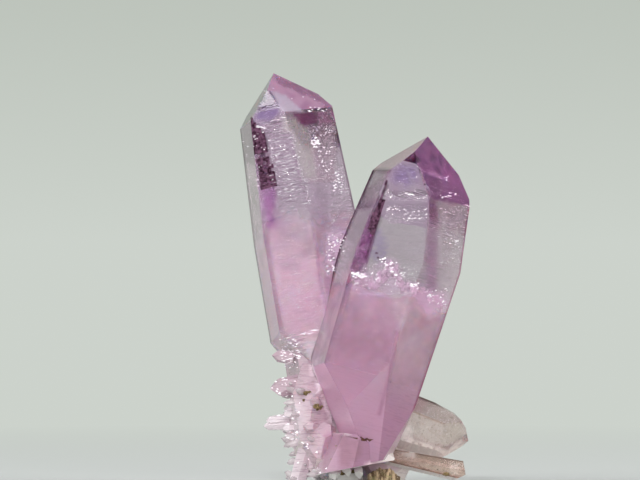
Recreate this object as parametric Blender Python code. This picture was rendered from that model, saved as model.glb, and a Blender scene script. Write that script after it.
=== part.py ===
"""Amethyst: two quartz crystals grown from one foot, with small crystals and a lump of iron-stained matrix.

The crystals are convex solids cut face by face, as quartz grows: six prism faces and three steep rhomb
faces that meet in the tip. X runs to the right, Y away from the viewer and Z up. The base is cut flat at
Z = 0, and the origin is on that cut, below the foot of the two large crystals.
"""

import math
import random

import bmesh
import bpy
from mathutils import Euler, Matrix, Vector

MM = 0.001
SIDES = 6
SECTOR = 360.0 / SIDES
RHOMB_SLOPE = 38.2  # degrees that a rhomb face of quartz looks up
BACK_RHOMB_SLOPE = 33.0
STOCK = 120.0  # width and height of the block that a crystal is cut from, mm

FOOT_HEIGHT = 4.75  # where the axes of the two large crystals meet, seen from the front

# The right crystal stands in front and the left one behind. Their axes spread as they rise.
RIGHT_FOOT = (-0.4, -3.0, FOOT_HEIGHT)
RIGHT_LEAN = 15.5
RIGHT_BACK = 3.0
RIGHT_SPIN = -16.0
RIGHT_LENGTH = 40.45
LEFT_FOOT = (-0.5, 4.0, FOOT_HEIGHT)
LEFT_LEAN = -10.3
LEFT_BACK = 5.0
LEFT_SPIN = -18.5
LEFT_LENGTH = 48.25
BREAK_SLOPE = -63.7  # the slanting break under the right crystal

# A clear crystal leans out to the right from behind the right one, with a thinner one under it.
SIDE_FOOT = (4.0, 0.6, 9.0)
SIDE_LEAN = 107.0
SIDE_LENGTH = 11.3
LOWER_SIDE_FOOT = (4.6, -1.2, 4.2)
LOWER_SIDE_LEAN = 103.0
LOWER_SIDE_LENGTH = 10.1

# Blocks of intergrown quartz that join the crystals: centre, half size, number of faces and seed.
ROOT_BLOCKS = (
    ((-4.9, -0.1, 9.3), (2.9, 4.3, 6.4), 22, 3),
    ((-3.6, -1.6, 5.2), (2.6, 3.4, 3.2), 18, 5),
    ((-0.8, 1.2, 2.2), (2.5, 4.6, 3.6), 18, 8),
    ((-0.6, 6.0, 2.6), (3.9, 4.0, 4.0), 20, 13),
    ((4.2, 3.6, 3.4), (3.6, 3.4, 4.2), 18, 21),
)

# Small crystals of the spray: foot, lean, back, radius and length. Lean -90 points to the left.
SMALL_TAPER = 2.0
TIP_OFFSET = 0.2  # how far a small crystal's tip is off its axis, in radii
SPRAY = (
    ((-7.9, 2.2, 16.3), -82.0, -6.0, 0.75, 1.9),
    ((-6.6, 1.2, 12.9), -100.0, -12.0, 1.15, 3.5),
    ((-6.3, 3.0, 12.2), -76.0, 18.0, 0.85, 2.7),
    ((-6.5, -0.4, 9.9), -118.0, -24.0, 0.75, 2.2),
    ((-7.0, 0.4, 8.8), -97.0, -8.0, 0.62, 3.6),
    ((-6.9, 0.2, 7.9), -93.0, -2.0, 0.55, 3.9),
    ((-6.8, 1.4, 8.3), -104.0, 16.0, 0.70, 3.1),
    ((-6.4, -0.8, 7.4), -88.0, -30.0, 0.60, 2.3),
    ((-5.7, -0.6, 6.5), -86.0, -10.0, 0.62, 2.5),
    ((-5.4, 1.8, 6.2), -100.0, 14.0, 0.90, 3.0),
    ((-4.9, -1.6, 6.4), -163.0, -6.0, 1.15, 7.6),
    ((-4.5, -2.5, 5.0), -177.0, -12.0, 0.62, 3.1),
    ((-3.3, -3.6, 4.4), -196.0, -24.0, 0.72, 1.6),
    ((-4.6, -3.4, 7.6), -70.0, -52.0, 0.80, 1.9),
    ((-4.1, -2.9, 10.4), -40.0, -62.0, 0.70, 2.0),
    ((-2.1, -3.9, 3.6), -186.0, -16.0, 0.80, 2.6),
    ((-0.6, -3.6, 3.4), 164.0, -10.0, 0.85, 1.9),
    ((0.9, -3.2, 3.2), 170.0, -8.0, 0.55, 2.0),
    ((-5.6, 6.6, 6.4), -62.0, 38.0, 1.10, 4.2),
    ((-3.4, 8.6, 5.2), -30.0, 64.0, 0.95, 3.6),
    ((-1.2, 9.0, 3.6), -8.0, 82.0, 1.20, 2.8),
    ((2.2, 8.2, 4.6), 34.0, 58.0, 1.00, 4.4),
    ((4.6, 6.0, 5.0), 68.0, 34.0, 1.25, 4.6),
    ((5.6, 4.4, 3.2), 88.0, 22.0, 0.95, 3.8),
    ((-6.2, 4.6, 9.6), -84.0, 34.0, 0.80, 2.6),
)

# The iron-stained matrix under the right crystal, with ribs across it.
MATRIX_CENTER = (4.2, -4.3, 0.95)
MATRIX_SIZE = (2.25, 1.9, 1.8)
MATRIX_RIBS = 9
RIB_FACES = 20
RIB_OVERLAP = 2.1
RIB_SHIFT = 0.25
MATRIX_ARCH = 0.8  # how much lower the ribs are towards both ends


def collection(name):
    """Returns a new collection in the scene."""
    made = bpy.data.collections.new(name)
    bpy.context.scene.collection.children.link(made)
    return made


def material(name, color, roughness, metallic=0.0):
    """Returns a Principled BSDF material."""
    made = bpy.data.materials.new(name)
    made.use_nodes = True
    shader = made.node_tree.nodes["Principled BSDF"]
    shader.inputs["Base Color"].default_value = (*color, 1.0)
    shader.inputs["Roughness"].default_value = roughness
    shader.inputs["Metallic"].default_value = metallic
    return made


def cut(mesh, point, normal):
    """Cuts away what lies outside a plane and closes the cut with one flat face."""
    everything = mesh.verts[:] + mesh.edges[:] + mesh.faces[:]
    result = bmesh.ops.bisect_plane(
        mesh, geom=everything, dist=1e-7, plane_co=point, plane_no=normal, clear_outer=True
    )
    rim = [item for item in result["geom_cut"] if isinstance(item, bmesh.types.BMEdge)]
    if rim:
        bmesh.ops.contextual_create(mesh, geom=rim)


def placed(mesh, name, place, group):
    """Moves a mesh in millimetres to its place and returns it as an object."""
    bmesh.ops.transform(mesh, matrix=place @ Matrix.Scale(MM, 4), verts=mesh.verts)
    bmesh.ops.remove_doubles(mesh, verts=mesh.verts, dist=1e-6)
    bmesh.ops.recalc_face_normals(mesh, faces=mesh.faces)
    data = bpy.data.meshes.new(name)
    mesh.to_mesh(data)
    mesh.free()
    made = bpy.data.objects.new(name, data)
    group.objects.link(made)
    return made


class Crystal:
    """A convex crystal: +Z along its axis, azimuth 0 towards the viewer and 90 to the right, in mm."""

    def __init__(self, foot, lean, back=0.0, spin=0.0):
        tilt = Euler((math.radians(-back), 0.0, 0.0)).to_matrix()
        turn = Euler((0.0, math.radians(lean), 0.0)).to_matrix() @ tilt
        self.place = Matrix.Translation(Vector(foot) * MM) @ turn.to_4x4()
        self.spin = spin
        self.faces = []

    def face(self, azimuth, slope, reach, height):
        """Adds a flat face that is `reach` from the axis at `height`, and looks up by `slope` degrees."""
        turn = math.radians(azimuth)
        rise = math.radians(slope)
        outward = Vector((math.sin(turn), -math.cos(turn), 0.0))
        normal = outward * math.cos(rise) + Vector((0.0, 0.0, math.sin(rise)))
        self.faces.append((outward * reach + Vector((0.0, 0.0, height)), normal))

    def belt(self, height, reaches, slopes):
        """Adds the six prism faces: front, right, right back, back, left back and left."""
        for side in range(SIDES):
            self.face(self.spin + SECTOR * side, slopes[side], reaches[side], height)

    def tip(self, height, side=0.0, front=0.0, slopes=(RHOMB_SLOPE,) * 3, first=1):
        """Adds every second rhomb face, starting at side `first`. They meet in one point."""
        for number, slope in enumerate(slopes):
            azimuth = self.spin + SECTOR * (first + 2 * number)
            turn = math.radians(azimuth)
            self.face(azimuth, slope, side * math.sin(turn) + front * math.cos(turn), height)

    def solid(self, name, group):
        """Cuts the crystal from its block and returns it as an object."""
        mesh = bmesh.new()
        half = STOCK / 2
        bmesh.ops.create_cone(mesh, segments=SIDES, cap_ends=True, radius1=half, radius2=half, depth=STOCK)
        for point, normal in self.faces:
            cut(mesh, point, normal)
        return placed(mesh, name, self.place, group)


def right_crystal(group):
    """The front crystal: it widens upwards to its middle, then tapers by steps to the tip."""
    crystal = Crystal(RIGHT_FOOT, RIGHT_LEAN, RIGHT_BACK, RIGHT_SPIN)
    crystal.tip(RIGHT_LENGTH, -0.74, 0.85, (RHOMB_SLOPE, BACK_RHOMB_SLOPE, RHOMB_SLOPE))
    crystal.face(RIGHT_SPIN, 30.0, 5.3, 37.3)
    crystal.face(RIGHT_SPIN + 2 * SECTOR, 34.0, 5.2, 35.4)
    crystal.face(RIGHT_SPIN + SECTOR / 2, 24.0, 6.3, 34.0)
    crystal.belt(25.0, (6.8, 7.58, 6.7, 6.8, 7.3, 6.75), (5.0, 12.5, 4.5, 6.0, 5.5, 8.0))
    crystal.belt(18.0, (6.75, 7.25, 6.35, 6.6, 7.1, 6.8), (-0.5, -3.0, -2.8, -1.0, 0.0, 0.0))
    # The root narrows on the left and the right, and ends in a slanting break.
    crystal.face(-70.0, -38.0, 5.9, 8.0)
    crystal.face(-105.0, -36.0, 6.2, 8.2)
    crystal.face(-150.0, -30.0, 5.9, 7.0)
    crystal.face(80.0, -14.0, 7.0, 7.0)
    crystal.face(5.0, -12.0, 6.5, 6.0)
    crystal.face(90.0, BREAK_SLOPE, 2.07, -1.3)
    return crystal.solid("right crystal", group)


def right_foot(group):
    """The foot under the right crystal, which stands out in front of it as a narrow ledge."""
    crystal = Crystal(RIGHT_FOOT, RIGHT_LEAN, RIGHT_BACK, RIGHT_SPIN)
    crystal.belt(0.0, (6.15, 5.6, 5.3, 4.6, 4.4, 2.7), (2.0, 4.0, 0.0, -6.0, 0.0, 10.0))
    crystal.face(-90.0, 82.4, 0.51, 1.93)
    crystal.face(60.0, 58.0, 5.2, 1.2)
    crystal.face(90.0, BREAK_SLOPE, 2.3, -1.42)
    return crystal.solid("right foot", group)


def left_crystal(group):
    """The back crystal: slender, nearly parallel, with a steep face over its front."""
    crystal = Crystal(LEFT_FOOT, LEFT_LEAN, LEFT_BACK, LEFT_SPIN)
    crystal.tip(LEFT_LENGTH, -0.49, 0.9, (RHOMB_SLOPE, BACK_RHOMB_SLOPE, RHOMB_SLOPE))
    crystal.face(LEFT_SPIN, 24.0, 5.0, 45.3)
    crystal.face(LEFT_SPIN + 2 * SECTOR, 35.0, 5.2, 43.6)
    crystal.belt(30.0, (6.2, 5.6, 6.0, 6.0, 6.1, 6.1), (1.2, 4.0, 1.3, 2.0, 0.5, 3.8))
    crystal.belt(20.0, (6.3, 5.7, 6.1, 6.2, 6.2, 6.35), (-0.5, -1.0, -0.5, 0.0, 0.0, 0.6))
    # It ends low on the left in a slanting step.
    crystal.face(-75.0, -34.0, 6.5, 15.4)
    crystal.face(-130.0, -20.0, 6.3, 11.0)
    crystal.face(0.0, -90.0, 0.0, -2.0)
    return crystal.solid("left crystal", group)


def left_foot(group):
    """The lower body of the left crystal, narrower than what stands on it."""
    crystal = Crystal(LEFT_FOOT, LEFT_LEAN, LEFT_BACK, LEFT_SPIN + 3.0)
    crystal.belt(8.0, (5.6, 5.2, 5.4, 5.7, 5.4, 5.05), (0.0, -1.0, 0.0, -2.0, 0.0, 1.5))
    crystal.face(-90.0, 55.0, 5.1, 15.0)
    crystal.face(0.0, 90.0, 0.0, 18.0)
    crystal.face(-60.0, -28.0, 4.9, 1.4)
    crystal.face(0.0, -90.0, 0.0, -2.6)
    return crystal.solid("left foot", group)


def side_crystal(group):
    """The clear crystal on the right, which lies almost level."""
    crystal = Crystal(SIDE_FOOT, SIDE_LEAN, 4.0, 8.0)
    crystal.tip(SIDE_LENGTH, -0.15, 0.0, (36.0, RHOMB_SLOPE, 50.0), first=0)
    crystal.belt(4.0, (2.7, 2.9, 2.75, 2.8, 3.25, 3.2), (1.0, 1.0, 0.5, 1.0, 4.0, 4.5))
    crystal.face(-82.0, 14.3, 3.03, 7.97)
    crystal.face(-95.0, 39.0, 2.36, 9.4)
    crystal.face(90.0, 45.0, 0.62, 10.82)
    crystal.face(0.0, -90.0, 0.0, -1.6)
    return crystal.solid("side crystal", group)


def lower_side_crystal(group):
    """The thinner crystal under the side crystal, with a blunt broken end."""
    crystal = Crystal(LOWER_SIDE_FOOT, LOWER_SIDE_LEAN, 2.0, 14.0)
    crystal.belt(4.0, (1.3, 1.1, 1.2, 1.3, 0.95, 0.9), (0.0, -0.5, 0.0, 0.5, -3.0, -3.0))
    crystal.face(-90.0, 68.4, 1.26, 9.5)
    crystal.face(90.0, 38.4, 1.18, 8.84)
    crystal.face(0.0, -90.0, 0.0, -1.0)
    return crystal.solid("lower side crystal", group)


def small_crystal(number, foot, lean, back, radius, length, group):
    """A small pointed crystal of the spray: a prism that tapers a little, and six rhomb faces."""
    chance = random.Random(number)
    crystal = Crystal(foot, lean, back, chance.uniform(0.0, SECTOR))
    reaches = [radius * chance.uniform(0.8, 1.0) for side in range(SIDES)]
    crystal.belt(length / 3, reaches, (SMALL_TAPER,) * SIDES)
    offset = TIP_OFFSET * radius
    for first in (0, 1):
        side = chance.uniform(-offset, offset)
        front = chance.uniform(-offset, offset)
        crystal.tip(length + first * offset, side, front, first=first)
    crystal.face(0.0, -90.0, 0.0, -radius)
    return crystal.solid(f"small crystal {number}", group)


def block(name, center, size, faces, seed, group):
    """A stone with flat faces: a cube cut by planes that touch an ellipsoid on all sides."""
    chance = random.Random(seed)
    mesh = bmesh.new()
    bmesh.ops.create_cube(mesh, size=2.0)
    golden = math.pi * (3.0 - math.sqrt(5.0))
    for number in range(faces):
        level = 1.0 - (2.0 * number + 1.0) / faces
        turn = golden * number + chance.uniform(-0.3, 0.3)
        ring = math.sqrt(1.0 - level * level)
        normal = Vector((ring * math.cos(turn), ring * math.sin(turn), level))
        cut(mesh, normal * chance.uniform(0.84, 1.0), normal)
    bmesh.ops.transform(mesh, matrix=Matrix.Diagonal((*size, 1.0)), verts=mesh.verts)
    return placed(mesh, name, Matrix.Translation(Vector(center) * MM), group)


def floor_cutter(group):
    """The block under the base, whose top is the flat cut that the specimen stands on."""
    half = STOCK / 2
    mesh = bmesh.new()
    bmesh.ops.create_cube(mesh, size=STOCK)
    return placed(mesh, "floor cutter", Matrix.Translation((0.0, 0.0, -half * MM)), group)


def boolean(target, operation, other):
    """Adds a Boolean modifier, and makes the other object a hidden cutter."""
    other.hide_render = True
    other.display_type = "WIRE"
    modifier = target.modifiers.new(other.name, "BOOLEAN")
    modifier.operation = operation
    modifier.solver = "EXACT"
    modifier.object = other


def amethyst_cluster(parts, tools):
    """All the quartz, which grew together as one piece."""
    cluster = right_crystal(parts)
    cluster.name = "amethyst_cluster"
    cluster.data.materials.append(material("amethyst", (0.48, 0.30, 0.46), 0.12))
    grown = [maker(tools) for maker in (right_foot, left_crystal, left_foot, side_crystal, lower_side_crystal)]
    for number, (center, size, faces, seed) in enumerate(ROOT_BLOCKS):
        grown.append(block(f"root block {number}", center, size, faces, seed, tools))
    for number, (foot, lean, back, radius, length) in enumerate(SPRAY):
        grown.append(small_crystal(number, foot, lean, back, radius, length, tools))
    for other in grown:
        boolean(cluster, "UNION", other)
    boolean(cluster, "DIFFERENCE", floor_cutter(tools))


def iron_stained_matrix(parts, tools):
    """The brown lump between the right crystal and the floor: ribs of rock side by side."""
    chance = random.Random(34)
    width, depth, height = MATRIX_SIZE
    ribs = []
    rib_width = RIB_OVERLAP * width / MATRIX_RIBS
    for number in range(MATRIX_RIBS):
        along = (number + 0.5) / MATRIX_RIBS * 2.0 - 1.0
        arch = math.sqrt(1.0 - MATRIX_ARCH * along * along)
        center = (
            MATRIX_CENTER[0] + along * (width - rib_width),
            MATRIX_CENTER[1] + chance.uniform(-RIB_SHIFT, RIB_SHIFT),
            MATRIX_CENTER[2] * chance.uniform(0.85, 1.0),
        )
        size = (rib_width, depth * arch, height * arch)
        group = tools if ribs else parts
        ribs.append(block(f"matrix rib {number}", center, size, RIB_FACES, 40 + number, group))
    lump = ribs[0]
    lump.name = "iron_stained_matrix"
    lump.data.materials.append(material("iron-stained matrix", (0.16, 0.11, 0.05), 0.8))
    for other in ribs[1:]:
        boolean(lump, "UNION", other)
    boolean(lump, "DIFFERENCE", floor_cutter(tools))


def main():
    for old in list(bpy.data.objects):
        bpy.data.objects.remove(old)
    parts = collection("amethyst")
    tools = collection("cutters")
    amethyst_cluster(parts, tools)
    iron_stained_matrix(parts, tools)


main()
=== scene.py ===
"""Looks of the amethyst: clear quartz around milky lower bodies, violet tips, a drusy root and brown matrix.

The photograph's frame is 640 by 480 pixels of 0.125 mm. Its column 350 is X = 0, and Z = 0 is eight rows
below its lower edge. The camera looks along +Y from far away, through a long lens. Sizes without a unit in
their name are in millimetres, and outlines of stains and sparkles are in the photograph's pixels.
"""

import math
import random

import bmesh
import bpy
from mathutils import Euler, Matrix, Vector, noise
from mathutils.bvhtree import BVHTree


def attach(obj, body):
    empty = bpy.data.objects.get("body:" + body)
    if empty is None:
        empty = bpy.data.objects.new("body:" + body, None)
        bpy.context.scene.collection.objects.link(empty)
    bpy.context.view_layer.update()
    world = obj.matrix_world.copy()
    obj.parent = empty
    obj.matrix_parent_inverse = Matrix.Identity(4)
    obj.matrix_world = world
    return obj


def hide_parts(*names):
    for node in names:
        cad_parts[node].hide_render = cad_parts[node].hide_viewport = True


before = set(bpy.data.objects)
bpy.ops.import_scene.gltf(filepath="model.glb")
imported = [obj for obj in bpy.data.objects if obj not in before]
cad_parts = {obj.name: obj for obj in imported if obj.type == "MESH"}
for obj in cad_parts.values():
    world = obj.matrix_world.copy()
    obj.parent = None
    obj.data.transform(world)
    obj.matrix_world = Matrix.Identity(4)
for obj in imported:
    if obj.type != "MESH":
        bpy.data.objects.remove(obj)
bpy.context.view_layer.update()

MM = 0.001
PIXEL = 0.125 * MM
ZERO_COLUMN = 350
ZERO_ROW = 488
FRAME_WIDTH = 640
FRAME_HEIGHT = 480
LENS = 400.0
SENSOR = 36.0

CLUSTER = "amethyst_cluster"
MATRIX = "iron_stained_matrix"
UP = Vector((0.0, 0.0, 1.0))
DOWN = Vector((0.0, 0.0, -1.0))
ACROSS = Vector((1.0, 0.0, 0.0))
INTO_VIEW = Vector((0.0, 1.0, 0.0))

HORIZON = (0.605, 0.645, 0.600)
BACKDROP = (0.510, 0.550, 0.500)
BACKDROP_STOP = 0.034
SKY = (
    (0.32, (0.50, 0.53, 0.49)),
    (0.62, (0.42, 0.43, 0.42)),
    (0.90, (0.18, 0.18, 0.19)),
    (1.0, (0.08, 0.08, 0.09)),
)
FLOOR = (0.50, 0.52, 0.51)
FLOOR_RADIUS_M = 3.0
FLOOR_FADE_M = (0.05, 0.30)

QUARTZ_IOR = 1.544
HAZE_COLOR = (0.62, 0.32, 0.60)
HAZE_DENSITY = 42.0

RIGHT, LEFT, SIDE, LOWER_SIDE = range(4)
ROOT_SKIN = -1
RIGHT_STANCE = ((-0.4, -3.0, 4.75), 15.5, 3.0, -16.0)
SIDES = 6
SECTOR = 360.0 / SIDES
RHOMB_SLOPE = 38.2
BACK_RHOMB_SLOPE = 33.0

# Numbers of prism sides, counted from the front to the right, and numbers of faces of the large crystals.
FRONT = 0
RIGHT_FRONT = 1
RIGHT_BACK = 2
LEFT_BACK = 4
LEFT_FRONT = 5
VIOLET_RHOMB = 0
BACK_RHOMB = 1
PALE_RHOMB = 2
LOW_LEFT_FACETS = (18, 19)
LOW_FRONT_FACET = 22

# A face of the quartz belongs to a crystal's face where it has the same turn and lies this close to it.
SAME_TURN = 0.9998
SAME_PLANE = 0.01

# Growth steps, and the strips and squares that the quartz is cut into so that it can be painted.
STEP_SPACING = (0.22, 0.62)
STEPS_FROM = 2.0
STEPS_TO = 50.0
STEP_DEPTH = 0.024
RISER = 0.07
COLUMNS = 44
EDGE_STRIPS = (0.12, 0.30)
ROOT_PITCH = 0.7
ROOT_CUTS = 30

# How strongly growth lines mark the six sides of a large crystal, its other faces, and the rest. It sets the
# relief of the steps and the painted shade and glints along them.
SIDE_LINES = {
    RIGHT: (0.06, 0.25, 0.4, 0.35, 0.4, 0.10),
    LEFT: (0.5, 0.35, 0.4, 0.35, 0.4, 0.12),
}
OTHER_FACE_LINES = 0.08
SMALL_CRYSTAL_LINES = 0.3
ROOT_LINES = 0.7

# The milky bodies: light and deep colours, and how far they lie under the six sides and the other faces.
RIGHT_MILK = ((0.85, 0.61, 0.75), (0.64, 0.34, 0.51))
FOOT_MILK = ((0.64, 0.42, 0.55), (0.50, 0.27, 0.39))
LEFT_MILK = ((0.98, 0.74, 0.87), (0.90, 0.60, 0.76))
ROOT_MILK = ((0.97, 0.82, 0.87), (0.88, 0.66, 0.74))
VEIL = ((0.96, 0.78, 0.88), (0.86, 0.60, 0.76))
RIGHT_BODY_INSETS = (1.1, 0.9, 0.9, 1.2, 1.6, 1.7, 0.9)
RIGHT_SKIN_INSETS = (0.35, 0.35, 0.4, 0.4, 0.8, 0.9, 0.35)
RIGHT_HILL = (-1.9, -4.5)
LEFT_HILL = (0.0, -3.0)
HILL_RADIUS = 3.6
FOOT_END = Vector((0.0, 0.0, -4.2))
FOOT_INSET = 0.3
LEFT_BODY_INSET = 0.75
LOWEST_INSIDE = 0.35

# How fine the meshes of the pieces inside the quartz and of the rock are.
BODY_VOXEL = 0.3
FOOT_VOXEL = 0.25
WISPS_VOXEL = 0.2
ROCK_VOXEL = 0.09

# The milky lumps in the root: middle and half size.
ROOT_LUMPS = (
    ((-4.6, 0.2, 9.2), (2.185, 3.42, 5.32)),
    ((-3.4, -1.4, 4.8), (1.995, 2.755, 3.42)),
    ((-0.8, 1.2, 3.2), (1.995, 3.8, 3.04)),
    ((-0.6, 6.0, 3.6), (3.04, 3.23, 3.04)),
    ((4.0, 3.4, 3.8), (2.85, 2.66, 3.23)),
)

# The violet ends of the crystals: where each begins on the axis, its colour and its density.
CAPS = (
    (RIGHT, "right", 34.0, (0.55, 0.22, 0.62), 16.0),
    (LEFT, "left", 43.0, (0.60, 0.25, 0.58), 12.0),
)
CAP_INSET = 0.25
MATRIX_MIDDLE = Vector((4.2, -4.3, 0.9))

# Colours that a face gives to what is seen through it. Beside the first three is how milky the face is.
SMALL_CRYSTAL_TINTS = {SIDE: ((0.97, 0.92, 0.88), 0.10), LOWER_SIDE: ((0.90, 0.80, 0.73), 0.12)}
# Painted light: the root right of the crystals lies in their shade and is lightened and clouded.
LIT_RIGHT_OF_ROOT = ((1.0, 0.95, 0.94), 0.92)
ROOT_TINT = (0.93, 0.82, 0.87)
ROOT_WHITE = (0.98, 0.92, 0.95)
ROOT_PINK = (0.90, 0.79, 0.84)
FOOT_TINT = (0.86, 0.69, 0.78)
MIDDLE_TINT = (0.70, 0.49, 0.62)
LOW_FRONT_TINT = (0.79, 0.57, 0.70)
# Painted light: the low facets that face left and down are lightened against their shade, most near the foot.
LIT_LOW_LEFT_TINT = (0.91, 0.69, 0.82)
LIT_LOWEST_LEFT_TINT = (1.0, 0.80, 0.92)
# Painted light: low undersides, which lie in shade near the floor, are made lighter and milkier.
LIT_UNDERSIDE_TINT = (1.0, 0.96, 0.95)
LIT_UNDERSIDE_MILK = 0.85
CLEAR_TINT = (1.0, 1.0, 1.0)
RIGHT_VIOLET_RHOMB = ((0.77, 0.43, 0.73), (0.52, 0.25, 0.53))
RIGHT_BACK_RHOMB = ((0.80, 0.62, 0.80), (0.93, 0.84, 0.93))
RIGHT_PALE_RHOMB = (1.0, 0.83, 0.87)
RIGHT_STEEP_TINT = (0.93, 0.90, 0.97)
RIGHT_SHADED = ((0.66, 0.61, 0.63), (0.93, 0.96, 0.93), (0.90, 0.82, 0.87))
RIGHT_SIDE_TINT = (1.0, 0.98, 0.97)
RIGHT_BODY = ((0.92, 0.915, 0.915), (0.95, 0.90, 0.94))
LEFT_VIOLET_RHOMB = ((0.83, 0.64, 0.77), (0.72, 0.51, 0.67))
LEFT_BACK_RHOMB = ((0.84, 0.66, 0.82), (0.95, 0.86, 0.94))
LEFT_STEEP_TINT = (0.88, 0.84, 0.95)
LEFT_SHADED = ((0.50, 0.48, 0.46), (0.90, 0.80, 0.87))
LEFT_BODY = ((1.0, 0.95, 0.98), (0.92, 0.86, 0.92))

# Painted shade along the silhouette edges of the crystals, where a thick crystal bends the light away: side,
# neighbouring side, width and the colour at the edge.
EDGE_SHADES = {
    RIGHT: (
        (LEFT_FRONT, LEFT_BACK, 1.7, (0.18, 0.12, 0.16)),
        (RIGHT_FRONT, RIGHT_BACK, 0.36, (0.80, 0.48, 0.62)),
        (FRONT, LEFT_FRONT, 0.14, (0.80, 0.70, 0.76)),
    ),
    LEFT: (
        (LEFT_FRONT, LEFT_BACK, 0.9, (0.42, 0.38, 0.40)),
        (RIGHT_FRONT, RIGHT_BACK, 0.36, (0.55, 0.45, 0.52)),
        (FRONT, RIGHT_FRONT, 0.2, (0.88, 0.80, 0.86)),
    ),
    SIDE: (
        (FRONT, RIGHT_FRONT, 0.35, (0.45, 0.36, 0.32)),
        (LEFT_FRONT, LEFT_BACK, 0.5, (0.32, 0.25, 0.22)),
        (FRONT, LEFT_FRONT, 0.25, (0.8, 0.7, 0.66)),
    ),
    LOWER_SIDE: (
        (LEFT_FRONT, LEFT_BACK, 0.3, (0.5, 0.4, 0.34)),
        (FRONT, RIGHT_FRONT, 0.2, (0.6, 0.5, 0.42)),
    ),
}

# How wide the painted shade, a dark line along the left edge of the left face, is on the large crystals, and
# where it ends.
EDGE_SHADE_WIDTHS = {RIGHT: 0.60, LEFT: 0.10}
EDGE_SHADE_LOW_END = {RIGHT: 13.0, LEFT: 10.0}

# Small crystals grow on the root left of and below these, on faces larger than this many square millimetres.
ROOT_RIGHT_END = 0.6
ROOT_TOP = 16.5
SMALLEST_PLACE = 1.2
DRUSE_POINTS = 80
DRUSE_LEAN = Vector((-0.40, -0.10, 0.0))
DRUSE_SHAKE = 0.5
DRUSE_RADII = (0.20, 0.48)
DRUSE_SLENDERNESS = (2.2, 4.0)
DRUSE_LEVEL_BELOW = 1.4
DRUSE_LOWEST_FOOT = 0.6
DRUSE_LOWEST = 0.1

# Painted glints, as near-white flecks where growth ledges and healed cracks sparkle: left, right, top and
# bottom of the area in pixels, how many flecks there are, their length and width in mm, and how deep they lie
# under the surface.
SPARKLES = (
    (404, 413, 193, 195.5, 5, 0.55, 0.14, 0.0),
    (387, 425, 195, 198, 10, 0.45, 0.07, 0.0),
    (386, 400, 206, 211, 9, 0.22, 0.15, 0.0),
    (400, 426, 209, 221, 18, 0.26, 0.17, 0.0),
    (437, 456, 193, 199, 14, 0.45, 0.13, 0.0),
    (440, 448, 176, 181, 4, 0.30, 0.12, 0.0),
    (432, 464, 206, 268, 12, 0.60, 0.04, 0.0),
    (448, 460, 238, 244, 6, 0.50, 0.12, 0.0),
    (352, 366, 272, 278, 22, 0.65, 0.22, 0.0),
    (354, 380, 270, 284, 22, 0.32, 0.16, 0.0),
    (378, 386, 257, 262, 8, 0.32, 0.20, 0.0),
    (384, 396, 262, 272, 20, 0.38, 0.22, 0.0),
    (394, 404, 272, 284, 16, 0.36, 0.22, 0.0),
    (410, 420, 281, 288, 14, 0.55, 0.28, 0.0),
    (424, 446, 288, 304, 26, 0.40, 0.22, 0.0),
    (330, 430, 300, 430, 22, 0.16, 0.10, 0.1),
    (253, 266, 126, 150, 14, 0.24, 0.17, 0.0),
    (257, 274, 158, 186, 8, 0.18, 0.12, 0.0),
    (256, 270, 125, 128, 5, 0.90, 0.15, 0.0),
    (262, 290, 116, 122, 6, 0.70, 0.08, 0.0),
    (268, 300, 138, 158, 26, 0.36, 0.12, 0.0),
    (270, 300, 160, 190, 20, 0.55, 0.07, 0.0),
    (311, 319, 137, 147, 26, 0.50, 0.26, 0.0),
    (312, 332, 128, 136, 12, 0.26, 0.15, 0.0),
    (316, 332, 146, 172, 30, 0.38, 0.16, 0.0),
    (333, 345, 172, 192, 22, 0.42, 0.20, 0.0),
    (327, 346, 234, 252, 34, 0.50, 0.22, 0.0),
    (326, 336, 250, 272, 16, 0.55, 0.24, 0.0),
    (265, 335, 178, 330, 26, 0.26, 0.08, 0.0),
    (304, 318, 329, 334, 6, 1.30, 0.20, 0.0),
    (281, 300, 338, 368, 70, 0.60, 0.22, 0.0),
    (308, 331, 106, 111, 14, 0.60, 0.14, 0.0),
    (262, 325, 80, 104, 10, 0.26, 0.08, 0.0),
    (240, 252, 140, 185, 14, 0.20, 0.11, 0.0),
    (272, 296, 378, 400, 24, 0.50, 0.26, 0.0),
    (268, 300, 400, 432, 12, 0.50, 0.26, 0.0),
    (286, 308, 430, 446, 16, 0.65, 0.34, 0.0),
    (296, 335, 446, 474, 8, 0.50, 0.26, 0.0),
    (400, 466, 408, 462, 24, 0.24, 0.10, 0.1),
)
FLECK_THICKNESS = 0.04
FLECK_LIFT = 0.01
FLECK_SIZES = (0.45, 1.25)
FLECK_DEPTHS = (0.6, 2.4)
FLECK_SHAKE = 0.22
FLECK_SLANT = 0.35
# The way that a fleck has to face to mirror the front spot light to the front.
HALF_WAY = Vector((-0.045, -0.928, 0.370)).normalized()

# The jagged top of the right crystal's milky body, in pixels: an older end of the crystal.
PHANTOM = ((354, 276), (358, 275), (364, 273), (372, 273), (380, 268), (386, 260), (391, 260), (396, 268),
           (401, 279), (408, 284), (416, 285), (424, 288), (431, 291), (440, 296), (449, 301))
PHANTOM_POINTS = 9
PHANTOM_ROWS = (0.0, 12.0)
PHANTOM_DEPTHS = (0.6, 2.6)
PHANTOM_SHAKE = 0.45
PHANTOM_RADII = (0.16, 0.42)
PHANTOM_LENGTHS = (0.4, 1.1)

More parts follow.
